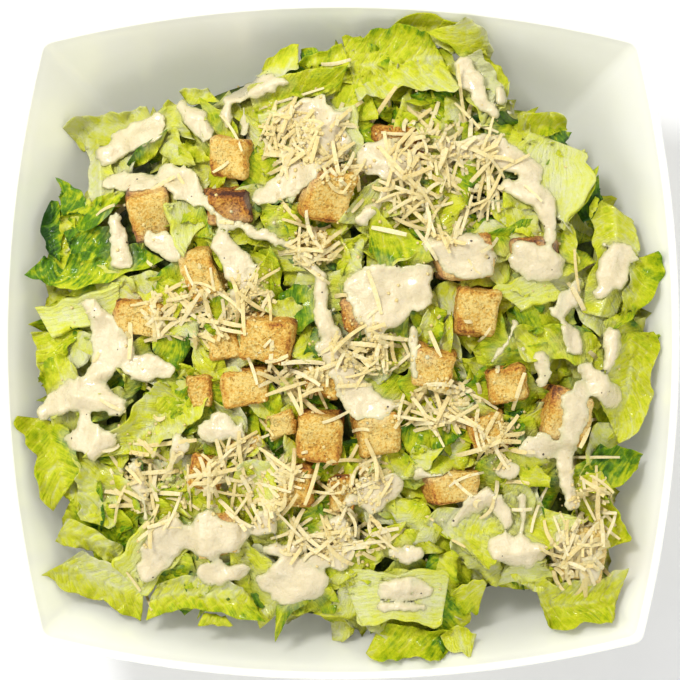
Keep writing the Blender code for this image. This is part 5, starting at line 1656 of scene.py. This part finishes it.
def build_crumbs():
    """Small crumbs of cheese between the shreds, each an uneven lump."""
    draw = random.Random(CRUMB_SEED)
    ways = [k * math.tau / CRUMB_SIDES for k in range(CRUMB_SIDES)]
    points, faces = [], []
    for _ in range(CRUMBS):
        centre_x, centre_y, half_x, half_y, _ = draw.choice(SHRED_PATCHES)
        x = (centre_x + draw.gauss(0, CRUMB_SPREAD) * half_x) * MM
        y = (centre_y + draw.gauss(0, CRUMB_SPREAD) * half_y) * MM
        if math.hypot(x, y) > RIM_HALF * CRUMB_REACH:
            continue
        size = draw.uniform(*CRUMB_SIZE)
        z = float(seen_top.sample(np.array(x), np.array(y))) + size * 0.3
        first = len(points)
        points.append((x, y, z + size * draw.uniform(0.6, 1)))
        for level, out in CRUMB_RINGS:
            for way in ways:
                wide = size * out * draw.uniform(*CRUMB_UNEVEN)
                points.append((x + math.cos(way) * wide, y + math.sin(way) * wide, z + level * size))
        points.append((x, y, z - size * 0.7))
        upper, lower = first + 1, first + 1 + CRUMB_SIDES
        for k in range(CRUMB_SIDES):
            after = (k + 1) % CRUMB_SIDES
            faces.append((first, upper + k, upper + after))
            faces.append((upper + k, lower + k, lower + after, upper + after))
            faces.append((lower + k, lower + CRUMB_SIDES, lower + after))
    return piece_of("cheese_crumbs", points, faces)


CHEESE_COLORS = [(0, hue("DEC478")), (0.5, hue("E6D496")), (1, hue("ECE0BA"))]


def cheese_material():
    """Pale hard cheese, each shred a little lighter or darker, with an uneven dull surface."""
    material, tree, shader = material_of(
        "grated_cheese_finish",
        Subsurface_Weight=0.2, Subsurface_Scale=0.001, Subsurface_Radius=(1.0, 0.8, 0.45),
    )
    mottle = math_node("MULTIPLY", grain(tree, 900), 0.5)
    tone = math_node("ADD", math_node("MULTIPLY", attribute(tree, "tone"), 0.5), mottle)
    tree.links.new(ramp_node(tree, tone, CHEESE_COLORS), shader.inputs["Base Color"])
    roughness(tree, shader, grain(tree, 600), 0.42, 0.6)
    relief(tree, shader, grain(tree, 1600, 0.2, 0.8), 0.0002)
    return material


cheese_finish = cheese_material()
for cheese in (build_cheese(), build_crumbs()):
    cheese.data.materials.append(cheese_finish)
    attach(cheese, "root")


# The setting
# A plain pale table top that the bowl stands on, soft round lamps high up and on the four sides, an
# even pale room, and the camera straight above the bowl, as the salad was photographed.

FLOOR_HALF = 1.5
CAMERA_DISTANCE = 0.95  # over the rim
LENS = 134.6
ROOM_LIGHT = 0.51
TABLE_COLORS = [(0, hue("EDEDED")), (1, hue("F2F2F2"))]
LAMPS = (  # name, place, size, power
    ("key_lamp", (-0.50, 0.55, 1.25), 0.3, 11.8),
    ("right_lamp", (1.0, 0.0, 0.6), 0.8, 2.9),
    ("back_lamp", (0.0, 1.0, 0.6), 0.8, 3.4),
    ("left_lamp", (-1.0, 0.0, 0.6), 0.8, 3.4),
    ("front_lamp", (0.0, -1.0, 0.6), 0.8, 2.9),
)


def floor_material():
    """A plain pale table top, dull and very slightly uneven in tone."""
    material, tree, shader = material_of("pale_table_finish", Roughness=0.8)
    tree.links.new(ramp_node(tree, grain(tree, 12), TABLE_COLORS), shader.inputs["Base Color"])
    return material


floor_corners = ((-1, -1), (1, -1), (1, 1), (-1, 1))
floor_points = [(right * FLOOR_HALF, up * FLOOR_HALF, 0) for right, up in floor_corners]
floor = piece_of("table", floor_points, [(0, 1, 2, 3)])
floor.data.materials.append(floor_material())

for lamp_name, spot, size, power in LAMPS:
    lamp = bpy.data.lights.new(lamp_name, "AREA")
    lamp.shape = "DISK"
    lamp.size = size
    lamp.energy = power
    holder = bpy.data.objects.new(lamp_name, lamp)
    holder.location = spot
    holder.rotation_euler = (Vector((0, 0, BOWL_HEIGHT)) - Vector(spot)).to_track_quat("-Z", "Y").to_euler()
    bpy.context.collection.objects.link(holder)

world = bpy.data.worlds.new("pale_room")
world.use_nodes = True
room = world.node_tree.nodes["Background"]
room.inputs["Color"].default_value = hue("FFFFFF")
room.inputs["Strength"].default_value = ROOM_LIGHT
bpy.context.scene.world = world
bpy.context.scene.view_settings.view_transform = "Standard"

camera = bpy.data.cameras.new("camera")
camera.lens = LENS
camera.sensor_width = 36
holder = bpy.data.objects.new("camera", camera)
holder.location = (0, 0, BOWL_HEIGHT + CAMERA_DISTANCE)
bpy.context.collection.objects.link(holder)
bpy.context.scene.camera = holder
